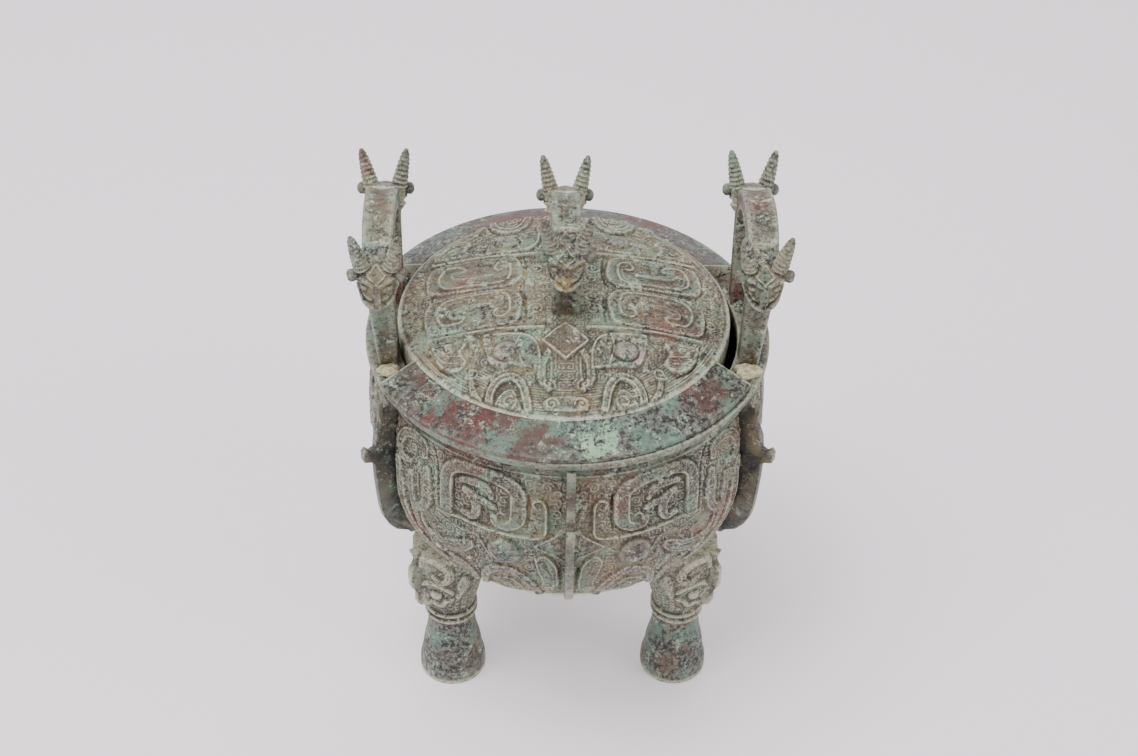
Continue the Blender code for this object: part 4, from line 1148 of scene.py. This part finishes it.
def head(centre_x, reach_at, brow_z, forward, face_reach):
    """One head's points and faces: a closed mask that runs back into the strap above."""
    down = np.linspace(-0.20, 1.06, head_rows)
    turn = np.linspace(-0.5 * np.pi, 0.5 * np.pi, head_columns)
    wide = np.interp(down, [-0.20, -0.10, 0.14, 0.40, 0.62, 0.84, 1.0, 1.06],
                     [0.52, 0.80, 1.0, 0.90, 0.74, 0.70, 0.58, 0.40])
    stand = np.interp(down, [-0.20, -0.10, 0.14, 0.40, 0.62, 0.84, 1.0, 1.06],
                      [0.20, 0.55, 0.88, 0.86, 0.90, 1.02, 0.86, 0.5])
    kernel = np.ones(9) / 9.0
    wide = np.convolve(np.pad(wide, 4, "edge"), kernel, "valid")
    stand = np.convolve(np.pad(stand, 4, "edge"), kernel, "valid")
    half = 0.5 * head_width
    across, drop = np.meshgrid(turn * 0.82 * half / millimetre, (down + 0.20) * head_height / millimetre)
    relief = head_face(across, drop) * millimetre
    ring_x = half * wide[:, None] * np.sin(turn)[None, :]
    ring_y = head_proud * stand[:, None] * np.cos(turn)[None, :] ** 0.75
    reach = np.hypot(ring_x / half, ring_y / head_proud)
    away = np.maximum(reach, 0.3)
    out_x = ring_x * (1.0 + relief / (half * away))
    out_y = ring_y * (1.0 + relief / (head_proud * away))
    z = brow_z - down[:, None] * head_height + 0.0 * out_x
    face_y = forward * np.minimum(face_reach, reach_at(z) + 0.0004)
    front = np.dstack([centre_x + out_x, face_y + forward * out_y, z])
    back = np.dstack([centre_x + 0.55 * ring_x[:, ::head_columns - 1],
                      face_y[:, :2] - forward * 0.3 * head_proud, z[:, :2]])
    grid = np.concatenate([front, back[:, ::-1]], axis=1)
    count = grid.shape[1]
    faces = [(r * count + c, r * count + (c + 1) % count, (r + 1) * count + (c + 1) % count,
              (r + 1) * count + c)
             for r in range(head_rows - 1) for c in range(count)]
    faces.append(list(range(count)))
    faces.append([(head_rows - 1) * count + c for c in range(count)])
    return grid.reshape(-1, 3), faces


def stub(root, direction, length, radii):
    """A short round stub with a domed end, for an ear."""
    axis = Vector(direction).normalized()
    first = axis.cross(Vector((0.0, 1.0, 0.1))).normalized()
    second = axis.cross(first)
    vertices = []
    sides = 24
    for i, radius in enumerate(radii):
        centre = Vector(root) + axis * (length * i / (len(radii) - 1))
        for k in range(sides):
            a = 2.0 * math.pi * k / sides
            vertices.append(centre + radius * (first * math.cos(a) + second * math.sin(a)))
    faces = [(r * sides + k, r * sides + (k + 1) % sides, (r + 1) * sides + (k + 1) % sides,
              (r + 1) * sides + k)
             for r in range(len(radii) - 1) for k in range(sides)]
    faces.append(list(range(sides)))
    faces.append([(len(radii) - 1) * sides + k for k in range(sides)])
    return np.array(vertices), faces


ear_bronze = old_bronze("ear_bronze", -0.1, 0.1, 0.6)
head_stains = [((-lid_shift, -0.030, 0.2570), 0.0062, (160, 134, 84))]
head_bronze = old_bronze("head_bronze", -0.1, 0.4, 0.1, head_stains)
horn_roots = {"vessel": [], "lid": []}
handle_middle = handle_inner + 0.5 * (handle_foot_width + (handle_top_width - handle_foot_width) * brow_share)
handle_brow = handle_foot + brow_share * (handle_top - handle_foot)
lid_brow = lid_handle_foot + lid_brow_share * (lid_handle_top - lid_handle_foot)
ear_radii = [0.36, 0.34, 0.35, 0.37, 0.40, 0.43, 0.45, 0.46, 0.45, 0.38, 0.25]
rim_strap = (handle_foot, handle_top, handle_half_span)
lid_strap = (lid_handle_foot, lid_handle_top, lid_handle_half_span)
for owner, centre_x, loop, brow_z, node in (("left_handle", -handle_middle, rim_strap, handle_brow,
                                             "vessel"),
                                            ("right_handle", handle_middle, rim_strap, handle_brow,
                                             "vessel"),
                                            ("lid_handle", -lid_shift, lid_strap, lid_brow, "lid")):
    face_reach = face_share * loop[2]
    for label, forward in (("front", -1.0), ("back", 1.0)):
        face_y = forward * face_reach
        face = head(centre_x, lambda z: strap_reach(z, *loop), brow_z, forward, face_reach)
        ears, ear_faces = np.empty((0, 3)), []
        for side in (-1.0, 1.0):
            beside = centre_x + side * 0.36 * head_width
            start = (beside, face_y + forward * 0.35 * head_proud, brow_z - 0.17 * head_height)
            ear, faces = stub(start, (side, 0.25 * forward, -0.15), ear_length,
                              [ear_length * r for r in ear_radii])
            ear_faces += [[len(ears) + i for i in corners] for corners in faces]
            ears = np.vstack([ears, ear])
            horn_roots[node].append(((beside, face_y + forward * 0.25 * head_proud,
                                      brow_z + 0.02 * head_height),
                                     (side * 0.22, forward * 0.16, 1.0)))
        for part, shape, bronze, wear_and_sheen in (("_head_", face, head_bronze, 0.75),
                                          ("_ears_", (ears, ear_faces), ear_bronze, 0.35)):
            made = solid(owner + part + label, shape[0].tolist(), shape[1], 60.0)
            made.data.materials.append(bronze)
            weather(made, 10, wear_and_sheen)
            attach(made, "root")
            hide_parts(node)

# Each head has two horns, ringed like a ram's and tapering to a blunt tip.
horn_length = 0.0180
horn_radius = 0.0039
horn_rings = 8.5
horns = new_tree("ringed_horns", (("Length", "NodeSocketFloat"), ("Root radius", "NodeSocketFloat"),
                                        ("Rings", "NodeSocketFloat"), ("Ring height", "NodeSocketFloat"),
                                        ("Finish", "NodeSocketMaterial")))
nodes, links = horns.nodes, horns.links


def sum_of(operation, first, second):
    """A maths node in the horn tree."""
    node = nodes.new("ShaderNodeMath")
    node.operation = operation
    for socket, value in zip(node.inputs, (first, second)):
        if isinstance(value, bpy.types.NodeSocket):
            links.new(value, socket)
        else:
            socket.default_value = value
    return node.outputs[0]


came_in, goes_out = nodes.new("NodeGroupInput"), nodes.new("NodeGroupOutput")
core = nodes.new("GeometryNodeCurvePrimitiveLine")
tip = nodes.new("ShaderNodeCombineXYZ")
evenly = nodes.new("GeometryNodeResampleCurve")
evenly.inputs["Count"].default_value = 74
along = nodes.new("GeometryNodeSplineParameter").outputs["Factor"]
section_circle = nodes.new("GeometryNodeCurvePrimitiveCircle")
section_circle.inputs["Resolution"].default_value = 16
section_circle.inputs["Radius"].default_value = 1.0
skin = nodes.new("GeometryNodeCurveToMesh")
skin.inputs["Fill Caps"].default_value = True
lean = nodes.new("GeometryNodeInputNamedAttribute")
lean.data_type = "FLOAT_VECTOR"
lean.inputs["Name"].default_value = "lean"
aim = nodes.new("FunctionNodeAlignRotationToVector")
aim.axis = "Z"
copies = nodes.new("GeometryNodeInstanceOnPoints")
realised = nodes.new("GeometryNodeRealizeInstances")
coat = nodes.new("GeometryNodeSetMaterial")
wave = sum_of("SINE", sum_of("MULTIPLY", along, sum_of("MULTIPLY", came_in.outputs["Rings"],
                                                       2.0 * math.pi)), 0.0)
taper = sum_of("SUBTRACT", 1.0, sum_of("MULTIPLY", sum_of("POWER", along, 1.2), 0.54))
close = sum_of("POWER", sum_of("SUBTRACT", 1.0, sum_of("POWER", along, 9.0)), 0.5)
ringed = sum_of("ADD", 1.0, sum_of("MULTIPLY", wave, came_in.outputs["Ring height"]))
radius = sum_of("MULTIPLY", sum_of("MULTIPLY", sum_of("MULTIPLY", taper, ringed), close),
                came_in.outputs["Root radius"])
links.new(came_in.outputs["Length"], tip.inputs["Z"])
links.new(tip.outputs[0], core.inputs["End"])
links.new(core.outputs[0], evenly.inputs["Curve"])
links.new(evenly.outputs[0], skin.inputs["Curve"])
links.new(radius, skin.inputs["Scale"])
links.new(section_circle.outputs[0], skin.inputs["Profile Curve"])
links.new(lean.outputs["Attribute"], aim.inputs["Vector"])
links.new(came_in.outputs["Geometry"], copies.inputs["Points"])
links.new(skin.outputs[0], copies.inputs["Instance"])
links.new(aim.outputs[0], copies.inputs["Rotation"])
links.new(copies.outputs[0], realised.inputs[0])
links.new(realised.outputs[0], coat.inputs["Geometry"])
links.new(came_in.outputs["Finish"], coat.inputs["Material"])
links.new(coat.outputs[0], goes_out.inputs[0])

for node, roots in horn_roots.items():
    mesh = bpy.data.meshes.new(node + "_horns")
    mesh.from_pydata([Vector(root) - 0.002 * Vector(way).normalized() for root, way in roots], [], [])
    ways = mesh.attributes.new("lean", "FLOAT_VECTOR", "POINT")
    for i, (root, way) in enumerate(roots):
        ways.data[i].vector = way
    made = bpy.data.objects.new(node + "_horns", mesh)
    bpy.context.scene.collection.objects.link(made)
    run_tree(made, horns, {"Length": horn_length + 0.002, "Root radius": horn_radius, "Rings": horn_rings,
                           "Ring height": 0.085, "Finish": head_bronze})
    made.data.shade_smooth()
    weather(made, 6, 0.45)
    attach(made, "root")
    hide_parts(node)


# Pale mud has dried in the corner between each handle's front foot and the end of the lid's brim.
mud_half_width = 0.0060
mud_half_depth = 0.0052
mud_height = 0.0021
mud_rings = 22
mud_sides = 60
mud_colour = Finish("dried_mud")
mud_tone = mud_colour.ramp(mud_colour.noise(420.0, 5.0, 0.7, 2.2), 0.38, 0.62)
mud_colour.give(mud_colour.shader.inputs["Base Color"],
                mud_colour.blend(mud_tone, colour(150, 138, 104), colour(208, 200, 168)))
mud_colour.give(mud_colour.shader.inputs["Roughness"], 0.9)


def mud(name, side, size):
    """A flattened lump with an uneven edge, sunk a little into the rim."""
    sideways, foot_end = side * 0.0868, -handle_foot_half_span - 0.0046
    vertices = []
    for i in range(1, mud_rings):
        climb = math.pi * i / mud_rings
        for k in range(mud_sides):
            turn = 2.0 * math.pi * k / mud_sides
            ragged = 1.0 + 0.10 * math.sin(3.0 * turn + side) + 0.07 * math.sin(7.0 * turn + 2.0 * side)
            lumpy = 1.0 + 0.10 * math.sin(9.0 * climb + 2.0 * turn) * math.sin(5.0 * turn)
            reach = size * ragged * math.sin(climb) ** 0.8
            vertices.append((sideways + mud_half_width * reach * math.cos(turn),
                             foot_end + mud_half_depth * reach * math.sin(turn),
                             rim_height + mud_height * lumpy * max(math.cos(climb), -0.3)))
    vertices += [(sideways, foot_end, rim_height + mud_height),
                 (sideways, foot_end, rim_height - 0.3 * mud_height)]
    faces = [(r * mud_sides + k, r * mud_sides + (k + 1) % mud_sides,
              (r + 1) * mud_sides + (k + 1) % mud_sides,
              (r + 1) * mud_sides + k) for r in range(mud_rings - 2) for k in range(mud_sides)]
    last = (mud_rings - 2) * mud_sides
    faces += [(k, (k + 1) % mud_sides, len(vertices) - 2) for k in range(mud_sides)]
    faces += [(last + k, last + (k + 1) % mud_sides, len(vertices) - 1) for k in range(mud_sides)]
    return solid(name, vertices, faces, 80.0)


for name, side, size in (("mud_left", -1.0, 0.9), ("mud_right", 1.0, 1.1)):
    lump = mud(name, side, size)
    lump.data.materials.append(mud_colour.material)
    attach(lump, "root")
    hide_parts("vessel")

# The table is a plain pale sheet that curves up behind, in soft light from above, as in a studio.
floor_material = Finish("pale_sheet")
floor_material.give(floor_material.shader.inputs["Base Color"], colour(248, 240, 245))
floor_material.give(floor_material.shader.inputs["Roughness"], 0.85)
floor_material.give(floor_material.shader.inputs["Emission Color"], colour(250, 244, 250))
floor_material.give(floor_material.shader.inputs["Emission Strength"], 0.25)
sheet_half_width = 4.0
sheet_front = -3.0
sheet_bend = 1.9
bend_radius = 1.2
sheet_rows = [(sheet_front, 0.0), (sheet_bend, 0.0)]
for step in range(1, 17):
    angle = 0.5 * math.pi * step / 16
    sheet_rows.append((sheet_bend + bend_radius * math.sin(angle), bend_radius * (1.0 - math.cos(angle))))
sheet_rows.append((sheet_bend + bend_radius, 4.0))
sheet_vertices = [(x, y, z) for y, z in sheet_rows for x in (-sheet_half_width, sheet_half_width)]
sheet_faces = [(2 * i, 2 * i + 1, 2 * i + 3, 2 * i + 2) for i in range(len(sheet_rows) - 1)]
sheet_mesh = bpy.data.meshes.new("sheet")
sheet_mesh.from_pydata(sheet_vertices, [], sheet_faces)
sheet_mesh.shade_smooth()
sheet_mesh.materials.append(floor_material.material)
sheet = bpy.data.objects.new("sheet", sheet_mesh)
bpy.context.scene.collection.objects.link(sheet)

for name, place, aim, size, power in (("top_light", (-0.5, -0.3, 2.2), (0.0, 0.0, 0.1), 1.2, 44.0),
                                      ("right_light", (1.9, -0.9, 1.5), (0.0, 0.0, 0.12), 1.2, 16.0),
                                      ("left_light", (-2.0, -1.0, 1.3), (0.0, 0.0, 0.12), 1.4, 12.0),
                                      ("back_light", (0.3, 1.9, 2.0), (0.0, 0.0, 0.2), 1.4, 12.0)):
    lamp = bpy.data.lights.new(name, "AREA")
    lamp.energy = power
    lamp.size = size
    lamp_object = bpy.data.objects.new(name, lamp)
    lamp_object.location = place
    lamp_object.rotation_euler = (Vector(aim) - Vector(place)).to_track_quat("-Z", "Y").to_euler()
    bpy.context.scene.collection.objects.link(lamp_object)

world = bpy.data.worlds.new("room")
world.use_nodes = True
world.node_tree.nodes["Background"].inputs["Color"].default_value = (0.93, 0.93, 0.96, 1.0)
world.node_tree.nodes["Background"].inputs["Strength"].default_value = 0.56
bpy.context.scene.world = world

# The camera looks down at the vessel from the front, turned and tilted a little as the photograph was taken.
camera_place = Vector((-0.0211, -0.6996, 0.7627))
brim_direction = Vector((0.0208, 0.7853, -0.6187)).normalized()
focal_pixels = 1800.0
frame_width_pixels = 1138.0
brim_offset_pixels = (6.2, 57.1)
roll = math.radians(1.09)
level_right = brim_direction.cross(Vector((0.0, 0.0, 1.0))).normalized()
level_up = level_right.cross(brim_direction)
camera_up = level_up * math.cos(roll) - level_right * math.sin(roll)
camera_right = level_right * math.cos(roll) + level_up * math.sin(roll)
ahead = (brim_direction + camera_right * (brim_offset_pixels[0] / focal_pixels)
         - camera_up * (brim_offset_pixels[1] / focal_pixels)).normalized()
camera_right = ahead.cross(camera_up).normalized()
camera_up = camera_right.cross(ahead)
camera = bpy.data.cameras.new("camera")
camera.sensor_width = 36.0
camera.lens = focal_pixels * camera.sensor_width / frame_width_pixels
camera_object = bpy.data.objects.new("camera", camera)
turned = Matrix((camera_right, camera_up, -ahead)).transposed().to_4x4()
camera_object.matrix_world = Matrix.Translation(camera_place) @ turned
bpy.context.scene.collection.objects.link(camera_object)
bpy.context.scene.camera = camera_object
